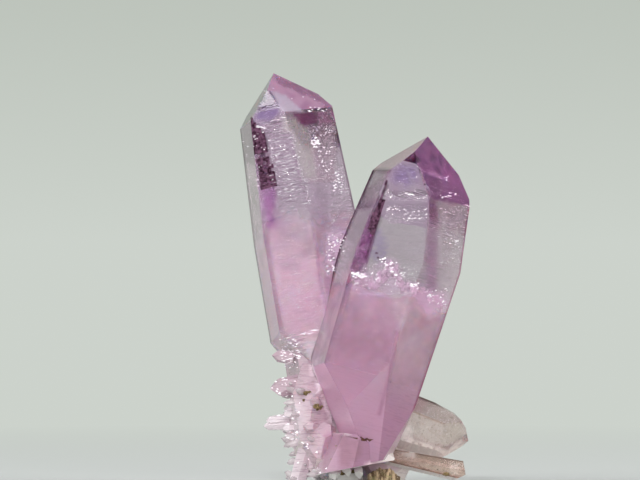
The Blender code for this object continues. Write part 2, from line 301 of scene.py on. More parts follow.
# Brown stains on the root and dark specks in the right crystal: pixel, half width and half height in mm.
STAINS = (
    (306.5, 392.5, 0.40, 0.26), (309.5, 391.5, 0.22, 0.16), (304, 399.5, 0.20, 0.17), (316, 405, 0.42, 0.28),
    (320, 406.5, 0.32, 0.26), (317.5, 408.5, 0.22, 0.16), (446, 473.5, 0.40, 0.26), (317, 469.5, 0.34, 0.22),
    (331, 457, 0.10, 0.08), (343, 471.5, 0.50, 0.30), (352, 470.5, 0.45, 0.22), (336, 444, 0.10, 0.09),
)
SPECKS = (
    (376, 253, 0.16, 0.12),
    (377.5, 257.5, 0.13, 0.12),
    (384, 261, 0.15, 0.13),
    (389.5, 380.5, 0.14, 0.10),
)

# The rust-filled crack: pixels along it, each with half its width in mm.
CRACK = (
    (345, 434, 0.02), (352, 435.5, 0.07), (357, 436.5, 0.18), (361, 437.2, 0.30), (364, 438.5, 0.20),
    (367, 437, 0.16), (369, 438.5, 0.28), (373, 437.5, 0.03),
)


def at(column, row, depth=0.0):
    """The point that the photograph shows at a pixel, `depth` mm behind the plane Y = 0."""
    return Vector(((column - ZERO_COLUMN) * PIXEL, depth * MM, (ZERO_ROW - row) * PIXEL))


def pixel_of(point):
    """The column and the row of the photograph that show a point."""
    return point.x / PIXEL + ZERO_COLUMN, ZERO_ROW - point.z / PIXEL


def smooth(value, low, high):
    share = max(0.0, min(1.0, (value - low) / (high - low)))
    return share * share * (3.0 - 2.0 * share)


def mix(first, second, share):
    return tuple(a + (b - a) * share for a, b in zip(first, second))


def rgba(color):
    return (*color, 1.0)


def even(inset):
    """The same inset for the six sides and the other faces of a crystal."""
    return (inset,) * (SIDES + 1)


def shake(chance, reach):
    return Vector(chance.uniform(-reach, reach) for axis in range(3))


class Shader:
    """A node material that is built by short calls."""

    def __init__(self, name):
        self.material = bpy.data.materials.new(name)
        self.material.use_nodes = True
        self.tree = self.material.node_tree
        self.tree.nodes.clear()
        self.output = self.tree.nodes.new("ShaderNodeOutputMaterial")

    def node(self, kind, inputs=None, **settings):
        made = self.tree.nodes.new("ShaderNode" + kind)
        for key, value in settings.items():
            setattr(made, key, value)
        for key, value in (inputs or {}).items():
            if isinstance(value, bpy.types.NodeSocket):
                self.tree.links.new(value, made.inputs[key])
            else:
                made.inputs[key].default_value = value
        return made

    def math(self, operation, *values):
        return self.node("Math", dict(enumerate(values)), operation=operation).outputs[0]

    def painted(self, name, output="Fac"):
        return self.node("Attribute", attribute_name=name).outputs[output]

    def noise(self, place, scale, detail=3.0, roughness=0.6):
        inputs = {"Vector": place, "Scale": scale, "Detail": detail, "Roughness": roughness}
        return self.node("TexNoise", inputs).outputs[0]

    def spread(self, value, low, high, to_low=0.0, to_high=1.0):
        inputs = {"Value": value, "From Min": low, "From Max": high, "To Min": to_low, "To Max": to_high}
        return self.node("MapRange", inputs).outputs[0]

    def blend(self, share, first, second, kind="MIX"):
        return self.node("MixRGB", {0: share, 1: first, 2: second}, blend_type=kind).outputs[0]

    def scaled(self, place, scale):
        return self.node("VectorMath", {0: place, 1: scale}, operation="MULTIPLY").outputs[0]

    def place(self):
        return self.node("NewGeometry").outputs["Position"]

    def place_mm(self):
        return self.scaled(self.place(), (1000.0, 1000.0, 1000.0))

    def bump(self, height, distance, strength):
        inputs = {"Height": height, "Distance": distance, "Strength": strength}
        return self.node("Bump", inputs).outputs[0]

    def link(self, socket, target="Surface"):
        self.tree.links.new(socket, self.output.inputs[target])

    def surface(self, inputs):
        """Gives the material its principled surface and returns it."""
        self.link(self.node("BsdfPrincipled", inputs).outputs[0])
        return self.material

    def absorb(self, color, density):
        haze = self.node("VolumeAbsorption", {"Color": rgba(color), "Density": density})
        self.link(haze.outputs[0], "Volume")


def link_object(name, data):
    made = bpy.data.objects.new(name, data)
    bpy.context.scene.collection.objects.link(made)
    return made


def set_camera():
    lens = bpy.data.cameras.new("camera")
    lens.lens = LENS
    lens.sensor_width = SENSOR
    lens.clip_start = 0.01
    lens.clip_end = 20.0
    camera = link_object("camera", lens)
    distance = FRAME_WIDTH * PIXEL * LENS / SENSOR
    middle = at(FRAME_WIDTH / 2, FRAME_HEIGHT / 2)
    camera.location = middle - Vector((0.0, distance, 0.0))
    camera.rotation_euler = Euler((math.pi / 2, 0.0, 0.0))
    bpy.context.scene.camera = camera


def set_world():
    world = bpy.data.worlds.new("studio")
    bpy.context.scene.world = world
    world.use_nodes = True
    tree = world.node_tree
    tree.nodes.clear()
    output = tree.nodes.new("ShaderNodeOutputWorld")
    background = tree.nodes.new("ShaderNodeBackground")
    place = tree.nodes.new("ShaderNodeTexCoord")
    split = tree.nodes.new("ShaderNodeSeparateXYZ")
    ramp = tree.nodes.new("ShaderNodeValToRGB")
    tree.links.new(place.outputs["Generated"], split.inputs[0])
    tree.links.new(split.outputs["Z"], ramp.inputs[0])
    tree.links.new(ramp.outputs[0], background.inputs[0])
    tree.links.new(background.outputs[0], output.inputs[0])
    stops = ramp.color_ramp.elements
    stops[0].position = 0.0
    stops[0].color = rgba(HORIZON)
    stops[1].position = BACKDROP_STOP
    stops[1].color = rgba(BACKDROP)
    for position, color in SKY:
        stop = stops.new(position)
        stop.color = rgba(color)


def softbox(name, place, size, power, target=(0.0, 0.0, 0.025)):
    """Adds a soft light. Places and sizes are in metres."""
    light = bpy.data.lights.new(name, "AREA")
    light.shape = "RECTANGLE"
    light.size, light.size_y = size
    light.energy = power
    made = link_object(name, light)
    made.location = place
    aim = Vector(target) - Vector(place)
    made.rotation_euler = aim.to_track_quat("-Z", "Y").to_euler()


def set_lights():
    softbox("key", (-0.42, -0.38, 0.50), (0.26, 0.26), 1.8)
    softbox("front spot", (-0.06, -0.52, 0.52), (0.07, 0.07), 1.3)
    softbox("front", (0.10, -0.85, 0.42), (0.60, 0.35), 1.5)
    softbox("low front", (-0.05, -0.55, 0.06), (0.70, 0.08), 0.75, (0.0, 0.0, 0.005))
    softbox("fill", (0.50, -0.35, 0.35), (0.20, 0.30), 0.9)
    softbox("top", (0.0, 0.10, 0.70), (0.30, 0.30), 1.4)
    softbox("rim", (0.45, 0.45, 0.40), (0.15, 0.45), 1.4)


def make_floor():
    mesh = bmesh.new()
    bmesh.ops.create_circle(mesh, cap_ends=True, segments=128, radius=FLOOR_RADIUS_M)
    data = bpy.data.meshes.new("floor")
    mesh.to_mesh(data)
    mesh.free()
    floor = link_object("floor", data)
    shader = Shader("floor")
    reach = shader.node("VectorMath", {0: shader.place()}, operation="LENGTH").outputs["Value"]
    far = shader.spread(reach, *FLOOR_FADE_M)
    near = shader.node("BsdfDiffuse", {"Color": rgba(FLOOR)}).outputs[0]
    glow = shader.node("Emission", {"Color": rgba(HORIZON), "Strength": 1.0}).outputs[0]
    mixed = shader.node("MixShader", {0: far, 1: near, 2: glow})
    shader.link(mixed.outputs[0])
    data.materials.append(shader.material)


class Crystal:
    """The flat faces of a crystal of the frame, in mm along its own axis."""

    def __init__(self, foot, lean, back, spin):
        tilt = Euler((math.radians(-back), 0.0, 0.0)).to_matrix()
        self.turn = Euler((0.0, math.radians(lean), 0.0)).to_matrix() @ tilt
        self.place = Matrix.Translation(Vector(foot) * MM) @ self.turn.to_4x4()
        self.inverse = self.place.inverted()
        self.spin = spin
        self.faces = []
        self.belts = []

    def face(self, azimuth, slope, reach, height):
        turn = math.radians(azimuth)
        rise = math.radians(slope)
        outward = Vector((math.sin(turn), -math.cos(turn), 0.0))
        normal = outward * math.cos(rise) + UP * math.sin(rise)
        self.faces.append((outward * reach + UP * height, normal))

    def belt(self, height, reaches, slopes):
        """Adds six prism sides."""
        self.belts.append(len(self.faces))
        for side in range(SIDES):
            self.face(self.spin + SECTOR * side, slopes[side], reaches[side], height)

    def tip(self, height, side, front, slopes, first=1):
        """Adds three rhomb faces, which meet at `side` to the right of the axis and `front` before it."""
        for number, slope in enumerate(slopes):
            azimuth = self.spin + SECTOR * (first + 2 * number)
            turn = math.radians(azimuth)
            self.face(azimuth, slope, side * math.sin(turn) + front * math.cos(turn), height)

    def side_of(self, index):
        """Which of the six sides a face belongs to, or -1 where it isn't a prism face."""
        for start in self.belts:
            if start <= index < start + SIDES:
                return index - start
        return -1

    def local(self, point):
        """A point of the frame, which is in metres, in mm along the crystal's axis."""
        return (self.inverse @ point) / MM

    def depth_under(self, side, local):
        """How far a point is inside the faces of a side."""
        depths = []
        for start in self.belts:
            point, normal = self.faces[start + side]
            depths.append((point - local).dot(normal))
        return min(depths)

    def solid(self, insets, extra):
        """The crystal's closed mesh in metres, cut off by the extra planes.

        Each face is moved in by `insets`, which has one for each side and one for the other faces.
        """
        mesh = bmesh.new()
        bmesh.ops.create_cube(mesh, size=120.0)
        inner = []
        for index, (point, normal) in enumerate(self.faces):
            side = self.side_of(index)
            inset = insets[side] if side >= 0 else insets[-1]
            inner.append((point - normal * inset, normal))
        for point, normal in inner + extra:
            everything = mesh.verts[:] + mesh.edges[:] + mesh.faces[:]
            cut = bmesh.ops.bisect_plane(
                mesh, geom=everything, dist=1e-6, plane_co=point, plane_no=normal, clear_outer=True
            )
            rim = [item for item in cut["geom_cut"] if isinstance(item, bmesh.types.BMEdge)]
            if rim:
                bmesh.ops.contextual_create(mesh, geom=rim)
        bmesh.ops.transform(mesh, matrix=self.place @ Matrix.Scale(MM, 4), verts=mesh.verts)
        bmesh.ops.recalc_face_normals(mesh, faces=mesh.faces)
        return mesh


def right_crystal():
    crystal = Crystal(*RIGHT_STANCE)
    spin = crystal.spin
    crystal.tip(40.45, -0.74, 0.85, (RHOMB_SLOPE, BACK_RHOMB_SLOPE, RHOMB_SLOPE))
    crystal.face(spin, 30.0, 5.3, 37.3)
    crystal.face(spin + 2 * SECTOR, 34.0, 5.2, 35.4)
    crystal.face(spin + SECTOR / 2, 24.0, 6.3, 34.0)
    crystal.belt(25.0, (6.8, 7.58, 6.7, 6.8, 7.3, 6.75), (5.0, 12.5, 4.5, 6.0, 5.5, 8.0))
    crystal.belt(18.0, (6.75, 7.25, 6.35, 6.6, 7.1, 6.8), (-0.5, -3.0, -2.8, -1.0, 0.0, 0.0))
    crystal.face(-70.0, -38.0, 5.9, 8.0)
    crystal.face(-105.0, -36.0, 6.2, 8.2)
    crystal.face(-150.0, -30.0, 5.9, 7.0)
    crystal.face(80.0, -14.0, 7.0, 7.0)
    crystal.face(5.0, -12.0, 6.5, 6.0)
    crystal.face(90.0, -63.7, 2.07, -1.3)
    return crystal


def right_foot():
    crystal = Crystal(*RIGHT_STANCE)
    crystal.belt(0.0, (6.15, 5.6, 5.3, 4.6, 4.4, 2.7), (2.0, 4.0, 0.0, -6.0, 0.0, 10.0))
    crystal.face(-90.0, 82.4, 0.51, 1.93)
    crystal.face(60.0, 58.0, 5.2, 1.2)
    crystal.face(90.0, -63.7, 2.3, -1.42)
    return crystal


def left_crystal():
    crystal = Crystal((-0.5, 4.0, 4.75), -10.3, 5.0, -18.5)
    spin = crystal.spin
    crystal.tip(48.25, -0.49, 0.9, (RHOMB_SLOPE, BACK_RHOMB_SLOPE, RHOMB_SLOPE))
    crystal.face(spin, 24.0, 5.0, 45.3)
    crystal.face(spin + 2 * SECTOR, 35.0, 5.2, 43.6)
    crystal.belt(30.0, (6.2, 5.6, 6.0, 6.0, 6.1, 6.1), (1.2, 4.0, 1.3, 2.0, 0.5, 3.8))
    crystal.belt(20.0, (6.3, 5.7, 6.1, 6.2, 6.2, 6.35), (-0.5, -1.0, -0.5, 0.0, 0.0, 0.6))
    crystal.face(-75.0, -34.0, 6.5, 15.4)
    crystal.face(-130.0, -20.0, 6.3, 11.0)
    crystal.face(0.0, -90.0, 0.0, -2.0)
    return crystal


def side_crystal():
    crystal = Crystal((4.0, 0.6, 9.0), 107.0, 4.0, 8.0)
    crystal.tip(11.3, -0.15, 0.0, (36.0, RHOMB_SLOPE, 50.0), first=0)
    crystal.belt(4.0, (2.7, 2.9, 2.75, 2.8, 3.25, 3.2), (1.0, 1.0, 0.5, 1.0, 4.0, 4.5))
    crystal.face(-82.0, 14.3, 3.03, 7.97)
    crystal.face(-95.0, 39.0, 2.36, 9.4)
    crystal.face(90.0, 45.0, 0.62, 10.82)
    crystal.face(0.0, -90.0, 0.0, -1.6)
    return crystal


def lower_side_crystal():
    crystal = Crystal((4.6, -1.2, 4.2), 103.0, 2.0, 14.0)
    crystal.belt(4.0, (1.3, 1.1, 1.2, 1.3, 0.95, 0.9), (0.0, -0.5, 0.0, 0.5, -3.0, -3.0))
    crystal.face(-90.0, 68.4, 1.26, 9.5)
    crystal.face(90.0, 38.4, 1.18, 8.84)
    crystal.face(0.0, -90.0, 0.0, -1.0)
    return crystal


CRYSTALS = (right_crystal(), left_crystal(), side_crystal(), lower_side_crystal())


class Patch:
    """A coloured or textured area on the front of one crystal, inside an outline in the photograph's pixels:
    a stain, painted light, painted shade or a painted reflection.

    `soft` is half the width of its edge in pixels, `mottle` how much of it spots take away, `lines` how
    strong its growth lines are, and `milk` how cloudy it is. A black patch is a nearly black strip of painted
    dark reflection.
    """

    def __init__(self, crystal, outline, color=None, soft=1.5, mottle=0.0, lines=None, milk=0.0, black=False):
        self.crystal = crystal
        self.outline = outline
        self.color = color
        self.soft = soft
        self.mottle = mottle
        self.lines = lines
        self.milk = milk
        self.black = black
        columns = [point[0] for point in outline]
        rows = [point[1] for point in outline]
        self.box = (min(columns) - soft, max(columns) + soft, min(rows) - soft, max(rows) + soft)

    def cover(self, column, row):
        """How much of the patch's colour a point takes, from 0 to 1."""
        if not (self.box[0] < column < self.box[1] and self.box[2] < row < self.box[3]):
            return 0.0
        inside = False
        nearest = math.inf
        last = self.outline[-1]
        for point in self.outline:
            across = point[0] - last[0]
            down = point[1] - last[1]
            if (point[1] > row) != (last[1] > row):
                if column < last[0] + across * (row - last[1]) / down:
                    inside = not inside
            share = ((column - last[0]) * across + (row - last[1]) * down) / (across * across + down * down)
            share = max(0.0, min(1.0, share))
            gap = math.hypot(column - last[0] - across * share, row - last[1] - down * share)
            nearest = min(nearest, gap)
            last = point
        share = smooth(nearest if inside else -nearest, -self.soft, self.soft)
        if self.mottle and share > 0.0:
            spots = noise.noise(Vector((column * 0.35, row * 0.28, 3.0)))
            spots += 0.7 * noise.noise(Vector((column * 0.9, row * 0.8, 8.0)))
            share *= 1.0 - self.mottle * smooth(spots, -0.1, 0.55)
        return share


def block(left, right, top, bottom):
    return ((left, top), (right, top), (right, bottom), (left, bottom))


# Outlines on the right crystal, from the tip down.
VIOLET_RIGHT = ((394, 171), (402, 165), (414, 167), (419, 174), (415, 182), (403, 187), (392, 182))
SPOT_AT_RIGHT_TIP = ((408, 161.5), (415, 156), (420, 161), (417, 163.5))
RIGHT_SHOULDER = ((374, 168), (391, 170), (389, 174), (375, 173))
REFLECTED_BAND_OF_RHOMB = ((426, 171), (434, 172.5), (445, 177.5), (444, 180), (433, 176), (427, 174.5))
MOTTLED_RHOMB = ((429, 178), (444, 180), (459, 188), (463, 196), (446, 194), (430, 192))
UNDER_RHOMB = ((427, 178), (440, 179), (462, 190), (469, 205), (452, 204), (428, 199))
BESIDE_RIDGE = ((427, 196), (434, 200), (437, 235), (436, 292), (424, 298), (426, 240))
UPPER_LEDGE = block(385, 426, 193, 199)
LOWER_LEDGE = block(387, 427, 206, 222)
LINED_RIGHT_EDGE = block(440, 468, 206, 268)
SMUDGES = ((371, 233), (379, 228), (386, 240), (387, 262), (379, 266), (370, 258))
LINES_ABOVE_MILK = block(352, 450, 264, 292)
PHANTOM_GLOW = ((351, 269), (366, 271), (378, 262), (388, 255), (396, 262), (404, 279), (420, 284),
                (446, 292), (446, 303), (404, 300), (352, 292))
PINK_HAZE_RIGHT = ((412, 289), (430, 291), (448, 297), (446, 308), (428, 318), (414, 306))
CLEAR_WINDOW = ((393, 292), (411, 292), (413, 318), (404, 334), (394, 316))
PRISM_EDGE_RIGHT = ((396, 330), (399, 331), (388, 384), (380, 414), (376.5, 413), (384.5, 383))
LIGHT_LINE = ((309.5, 363), (312.5, 363), (324.5, 399), (335.5, 426), (333, 428), (321.5, 401))
LOWEST_RIGHT = block(355, 402, 462, 472)
STRIP_RIGHT_TOP = ((386, 180), (379.5, 200), (375.5, 209), (371, 216), (368, 227), (371, 236), (376, 229),
                   (380, 215), (383, 200), (387, 182))
STRIP_RIGHT_LOW = ((369, 214), (361.5, 237), (350, 268), (358, 273), (368.5, 259), (374, 241), (377, 226))
STRIP_RIGHT_RIM = ((377, 224), (373.8, 241), (368.5, 257), (366, 262), (366, 256), (371, 241), (374, 226))

# Outlines on the left crystal, from the tip down.
RIM_OF_RHOMB = ((271, 73), (300, 83), (320, 92), (333, 108), (327, 108), (313, 97), (296, 90), (278, 82))
PALE_LEFT = ((266, 88), (286, 95), (299, 107), (306, 112), (284, 112), (278, 107))
FACET_AT_LEFT_TIP = ((258, 107), (265, 92), (271, 91), (278, 106))
SPOT_AT_LEFT_TIP = ((258.5, 102), (263.5, 94), (266.5, 102))
VIOLET_LEFT = ((256, 105), (266, 102), (276, 104), (280, 112), (270, 121), (254, 120))
WEDGE_LEFT = ((291.5, 111.5), (318, 111), (320, 120), (312, 124), (303, 125), (298, 121))
WEDGE_BESIDE = ((314, 111), (337, 110), (338, 121), (318, 125))
GREY_LEFT = ((283, 115), (304, 115), (307, 125), (313, 150), (317, 178), (303, 178), (296, 150), (293, 134),
             (283, 130))
STRIPED_LEFT = ((262, 122), (291, 120), (305, 170), (310, 205), (280, 206), (268, 150))
RIBBED_LEFT = block(308, 336, 124, 182)
LINED_LEFT_EDGE = block(330, 352, 165, 270)
PINK_HAZE_LEFT = ((326, 232), (356, 226), (350, 250), (338, 268), (328, 274), (324, 262))
THREAD_LEFT = ((316, 248), (319, 248), (321.5, 306), (318, 306))
LINED_LEFT_FOOT = block(280, 305, 334, 372)
STRIP_LEFT_TOP = ((250, 115), (257.5, 126), (265, 135), (269, 150), (266, 154), (254.5, 154), (251.5, 132))
STRIP_LEFT_MIDDLE = ((256, 157), (269.5, 156), (273, 169), (276, 186), (260.3, 190), (258.5, 176))
STRIP_LEFT_LOW = ((260, 186), (276, 184), (277, 200), (273, 212), (277, 226), (267, 230), (263, 208))

# Outlines on the side crystals and on the root.
LEDGE_OF_SIDE = ((399, 434), (430, 444), (447, 450), (462, 438), (466, 449), (449, 463), (399, 452))
SIDE_FOOT = block(396, 412, 425, 462)
LOWER_SIDE_END = block(450, 458, 463, 474)
LOWER_SIDE_FOOT = block(396, 416, 446, 458)
ROOT_FRONT = block(322, 402, 428, 476)
FOOT_BLOCK = ((338, 433), (350, 434), (360, 438), (359, 455), (352, 463), (340, 466), (337, 454))
BELOW_FOOT = ((316, 472), (345, 471), (368, 467), (368, 488), (316, 488))
LOWEST_ROOT = block(364, 402, 460, 472)

PATCHES = (
    Patch(RIGHT, VIOLET_RIGHT, (0.66, 0.56, 0.86), 6.0, 0.65, 0.5),
    Patch(RIGHT, SPOT_AT_RIGHT_TIP, (0.42, 0.20, 0.42), 0.7),
    Patch(RIGHT, SMUDGES, (0.80, 0.75, 0.92), 3.0, 0.7),
    Patch(RIGHT, PHANTOM_GLOW, (0.97, 0.83, 0.95), 4.0, 0.7, milk=0.12),
    Patch(RIGHT, CLEAR_WINDOW, (0.92, 0.88, 0.90), 5.0, 0.7, milk=0.12),
    Patch(RIGHT, RIGHT_SHOULDER, (0.48, 0.26, 0.38), 0.9, 0.0, 0.1, 0.1),
    # Painted shade: a faint darker line along the prism edge between the front and the right side.
    Patch(RIGHT, PRISM_EDGE_RIGHT, (0.69, 0.49, 0.61), 1.8, 0.3, milk=0.5),
    Patch(RIGHT, MOTTLED_RHOMB, (0.50, 0.23, 0.48), 2.5, 0.8, milk=0.22),
    # Painted reflection: a lighter band across the violet rhomb.
    Patch(RIGHT, REFLECTED_BAND_OF_RHOMB, (0.86, 0.58, 0.82), 1.0, 0.2, milk=0.34),
    Patch(RIGHT, LIGHT_LINE, (1.0, 0.92, 0.97), 0.8, 0.3, milk=0.8),
    # Painted light: the lowest part of the right crystal, in shade near the floor, is lightened and clouded.
    Patch(RIGHT, LOWEST_RIGHT, (1.0, 0.84, 0.90), 1.5, 0.3, milk=0.8),
    Patch(RIGHT, BESIDE_RIDGE, (0.85, 0.65, 0.82), 4.0, 0.3),
    Patch(RIGHT, PINK_HAZE_RIGHT, (0.98, 0.78, 0.92), 5.0, 0.5, milk=0.36),
    Patch(RIGHT, UPPER_LEDGE, lines=0.9),
    Patch(RIGHT, LOWER_LEDGE, lines=0.5),
    Patch(RIGHT, LINED_RIGHT_EDGE, lines=0.7),
    Patch(RIGHT, UNDER_RHOMB, (0.53, 0.24, 0.50), 2.2, 0.4, 0.12, 0.32),
    Patch(RIGHT, LINES_ABOVE_MILK, lines=0.5),
    # Painted dark reflection: the violet strips along the left edge, where the thick tip mirrors its violet
    # and dark surroundings.
    Patch(RIGHT, STRIP_RIGHT_LOW, (0.50, 0.21, 0.47), 1.4, 0.45, 0.1, 0.06),
    Patch(RIGHT, STRIP_RIGHT_RIM, (0.26, 0.09, 0.22), 1.0, 0.3, 0.0),
    Patch(RIGHT, STRIP_RIGHT_TOP, (0.10, 0.03, 0.08), 0.6, 0.2, 0.0, black=True),
    # Painted shade: the darker, mottled rim of the violet rhomb near the tip.
    Patch(LEFT, RIM_OF_RHOMB, (0.72, 0.52, 0.66), 2.0, 0.8, 0.1, 0.3),
    Patch(LEFT, PINK_HAZE_LEFT, (1.0, 0.86, 0.99), 8.0, 0.5, milk=0.62),
    Patch(LEFT, PALE_LEFT, (0.87, 0.82, 0.90), 1.2, 0.1, 0.08, 0.4),
    Patch(LEFT, VIOLET_LEFT, (0.62, 0.50, 0.84), 3.0, 0.3, 0.12),
    Patch(LEFT, STRIPED_LEFT, lines=1.25),
    Patch(LEFT, RIBBED_LEFT, (0.80, 0.68, 0.74), 2.0, 0.6, 1.1, 0.1),
    Patch(LEFT, GREY_LEFT, (0.76, 0.72, 0.72), 3.0, 0.3, 0.2, 0.36),
    Patch(LEFT, WEDGE_BESIDE, (0.68, 0.40, 0.58), 2.0, 0.85, 0.8, 0.28),
    Patch(LEFT, WEDGE_LEFT, (0.52, 0.20, 0.42), 1.1, 0.35, 0.3, 0.25),
    Patch(LEFT, LINED_LEFT_EDGE, lines=0.9),
    Patch(LEFT, LINED_LEFT_FOOT, lines=1.5),
    # Painted dark reflection: the violet strips along the left edge, where the thick tip mirrors its violet
    # and dark surroundings.
    Patch(LEFT, STRIP_LEFT_LOW, (0.66, 0.36, 0.66), 3.0, 0.5, 0.3, 0.12),
    Patch(LEFT, STRIP_LEFT_MIDDLE, (0.30, 0.10, 0.26), 1.4, 0.8, 0.1, black=True),
    Patch(LEFT, STRIP_LEFT_TOP, (0.13, 0.04, 0.11), 1.0, 0.35, 0.0, black=True),
    Patch(LEFT, FACET_AT_LEFT_TIP, (0.66, 0.60, 0.74), 2.0, 0.2, 0.0, 0.05),
    Patch(LEFT, SPOT_AT_LEFT_TIP, (0.14, 0.05, 0.14), 0.8, 0.0, 0.0),
    Patch(LEFT, THREAD_LEFT, (0.84, 0.70, 0.80), 1.5, 0.3),
    Patch(SIDE, LEDGE_OF_SIDE, (1.0, 0.955, 0.92), 2.5, 0.4, milk=0.5),
    # Painted light: the bright end facet of the lower side crystal, and the feet of both side crystals
    # lightened where the right crystal shades them.
    Patch(LOWER_SIDE, LOWER_SIDE_END, (0.96, 0.88, 0.83), 1.5, 0.2, milk=0.3),
    Patch(LOWER_SIDE, LOWER_SIDE_FOOT, (1.0, 0.94, 0.92), 4.0, 0.4, milk=0.4),
    Patch(SIDE, SIDE_FOOT, (1.0, 0.96, 0.94), 4.0, 0.3, milk=0.7),
    Patch(ROOT_SKIN, ROOT_FRONT, lines=0.12),
    # Painted shade: this facet of the foot is darkened against the key light that falls on it.
    Patch(ROOT_SKIN, FOOT_BLOCK, (0.70, 0.51, 0.60), 1.5, 0.3, milk=0.55),
    # Painted light: the bottom of the root under the foot, in shade above the floor, is made near-white and
    # milky.
    Patch(ROOT_SKIN, BELOW_FOOT, (1.0, 0.99, 0.98), 1.5, 0.1, 0.12, 0.95),
    Patch(ROOT_SKIN, LOWEST_ROOT, (1.0, 0.86, 0.91), 1.5, 0.3, milk=0.8),
    Patch(ROOT_SKIN, LIGHT_LINE, (1.0, 0.94, 0.98), 0.8, 0.3, milk=0.8),
)


def smooth_faces(data):
    for face in data.polygons:
        face.use_smooth = True


def finish_piece(name, mesh, material):
    data = bpy.data.meshes.new(name)
    mesh.to_mesh(data)
    mesh.free()
    made = link_object(name, data)
    data.materials.append(material)
    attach(made, "root")
    return made


def glass_material():
    """Clear quartz. The painted tint colours what is seen through a face, and milk makes it cloudy. Growth
    lines get painted shade and painted glints as dark and white streaks.
    """
    shader = Shader("amethyst glass")
    tint = shader.painted("tint", "Color")
    milk = shader.painted("milk")
    growth = shader.painted("growth", "Vector")
    lines = shader.painted("lines")
    ripple = shader.noise(shader.scaled(growth, (0.6, 0.6, 5.2)), 1.0, 3.0, 0.6)
    streak = shader.noise(shader.scaled(growth, (0.7, 0.7, 6.5)), 1.0, 3.0, 0.65)
    strong = shader.spread(lines, 0.15, 1.5, 0.0, 0.85)
    # Painted glints: white, milky streaks along the growth lines.
    painted_glint = shader.math("MULTIPLY", shader.spread(streak, 0.56, 0.68), strong)
    milk = shader.math("MAXIMUM", milk, painted_glint)
    clear = shader.math("SUBTRACT", 1.0, milk)
    rough = shader.spread(milk, 0.0, 1.0, 0.015, 0.30)
    grain = shader.noise(growth, 3.2, 4.0, 0.6)
    fine = shader.math("MULTIPLY_ADD", grain, 0.25, ripple)
    relief = shader.math("MULTIPLY", fine, lines)
    # Painted shade: dark streaks along the growth lines.
    dark = shader.spread(ripple, 0.52, 0.66)
    shade = shader.math("MULTIPLY", dark, shader.spread(lines, 0.0, 1.5, 0.04, 0.85))
    tint = shader.blend(shade, tint, rgba((0.30, 0.18, 0.28)), "MULTIPLY")
    tint = shader.blend(painted_glint, tint, rgba((0.97, 0.94, 0.98)))
    shader.absorb(HAZE_COLOR, HAZE_DENSITY)
    return shader.surface({
        "Base Color": tint,
        "Roughness": rough,
        "IOR": QUARTZ_IOR,
        "Transmission Weight": clear,
        "Normal": shader.bump(relief, 0.00022, 0.9),
    })


def edge_shade_material():
    """Painted shade: the dark line where a thick crystal bends the light away, and the nearly black strips of
    painted dark reflection.
    """
    shader = Shader("dark crystal edge")
    tone = shader.spread(shader.noise(shader.place_mm(), 2.6, 4.0, 0.7), 0.40, 0.66)
    color = shader.blend(tone, rgba((0.016, 0.003, 0.010)), rgba((0.19, 0.085, 0.15)))
    return shader.surface({"Base Color": color, "Roughness": 0.9, "Specular IOR Level": 0.1})


def along_axis(shader, crystal, low, high):
    """A value from 0 to 1 between two heights along a crystal's axis."""
    axis = crystal.turn @ UP
    foot = crystal.place.translation.dot(axis)
    dot = shader.node("VectorMath", {0: shader.place(), 1: axis}, operation="DOT_PRODUCT").outputs["Value"]
    return shader.spread(dot, foot + low * MM, foot + high * MM)


def milky_material(name, colors, crystal=None, fade=None, lighter=None, cover=1.0):
    """Milky quartz in a light and a deep colour.

    It thins out upwards between the heights of `fade` and gets lighter between those of `lighter`.
    """
    shader = Shader(name)
    local = shader.place_mm()
    clouds = shader.noise(local, 0.22, 3.0, 0.55)
    grain = shader.noise(local, 1.7, 4.0, 0.65)
    share = shader.spread(shader.math("MULTIPLY_ADD", grain, 0.10, clouds), 0.20, 0.90)
    if lighter:
        height = along_axis(shader, crystal, *lighter)
        share = shader.math("SUBTRACT", share, shader.math("MULTIPLY", height, 0.6))
        share.node.use_clamp = True
    light, deep = colors
    inputs = {
        "Base Color": shader.blend(share, rgba(light), rgba(deep)),
        "Roughness": 0.5,
        "Subsurface Weight": 0.5,
        "Subsurface Scale": 0.002,
        "Normal": shader.bump(grain, 0.0001, 0.3),
    }
    if fade:
        wisps = shader.math("ADD", shader.noise(local, 0.28, 2.0, 0.4), cover)
        thin = along_axis(shader, crystal, *fade)
        dense = shader.math("MULTIPLY_ADD", thin, -1.35, wisps)
        inputs["Alpha"] = shader.spread(dense, 0.55, 1.30)
    return shader.surface(inputs)


def cap_material(name, color, density):
    """A zone of deeper colour inside the clear quartz."""
    shader = Shader(name)
    shader.absorb(color, density)
    return shader.surface({
        "Base Color": rgba(CLEAR_TINT),
        "Roughness": 0.0,
        "IOR": 1.0,
        "Transmission Weight": 1.0,
    })


def sparkle_material():
    """Near-white flat flecks: healed cracks and growth ledges that mirror the light, their colour a painted
    glint.
    """
    shader = Shader("sparkle")
    tone = shader.spread(shader.noise(shader.place_mm(), 2.5, 2.0), 0.4, 0.62)
    color = shader.blend(tone, rgba((0.99, 0.97, 1.0)), rgba((0.95, 0.84, 0.93)))
    return shader.surface({"Base Color": color, "Roughness": 0.3})


def druse_material(name, color, clear, roughness):
    """Small crystals, which are clear quartz where `clear` is 1 and milky where it is 0."""
    shader = Shader(name)
    local = shader.place_mm()
    tone = shader.spread(shader.noise(local, 0.9, 4.0), 0.38, 0.65)
    grain = shader.noise(local, 6.0, 3.0)
    deep = tuple(0.86 * value for value in color)
    return shader.surface({
        "Base Color": shader.blend(tone, rgba(color), rgba(deep)),
        "Roughness": roughness,
        "IOR": QUARTZ_IOR,
        "Transmission Weight": clear,
        "Normal": shader.bump(grain, 0.0001, 0.4),
    })


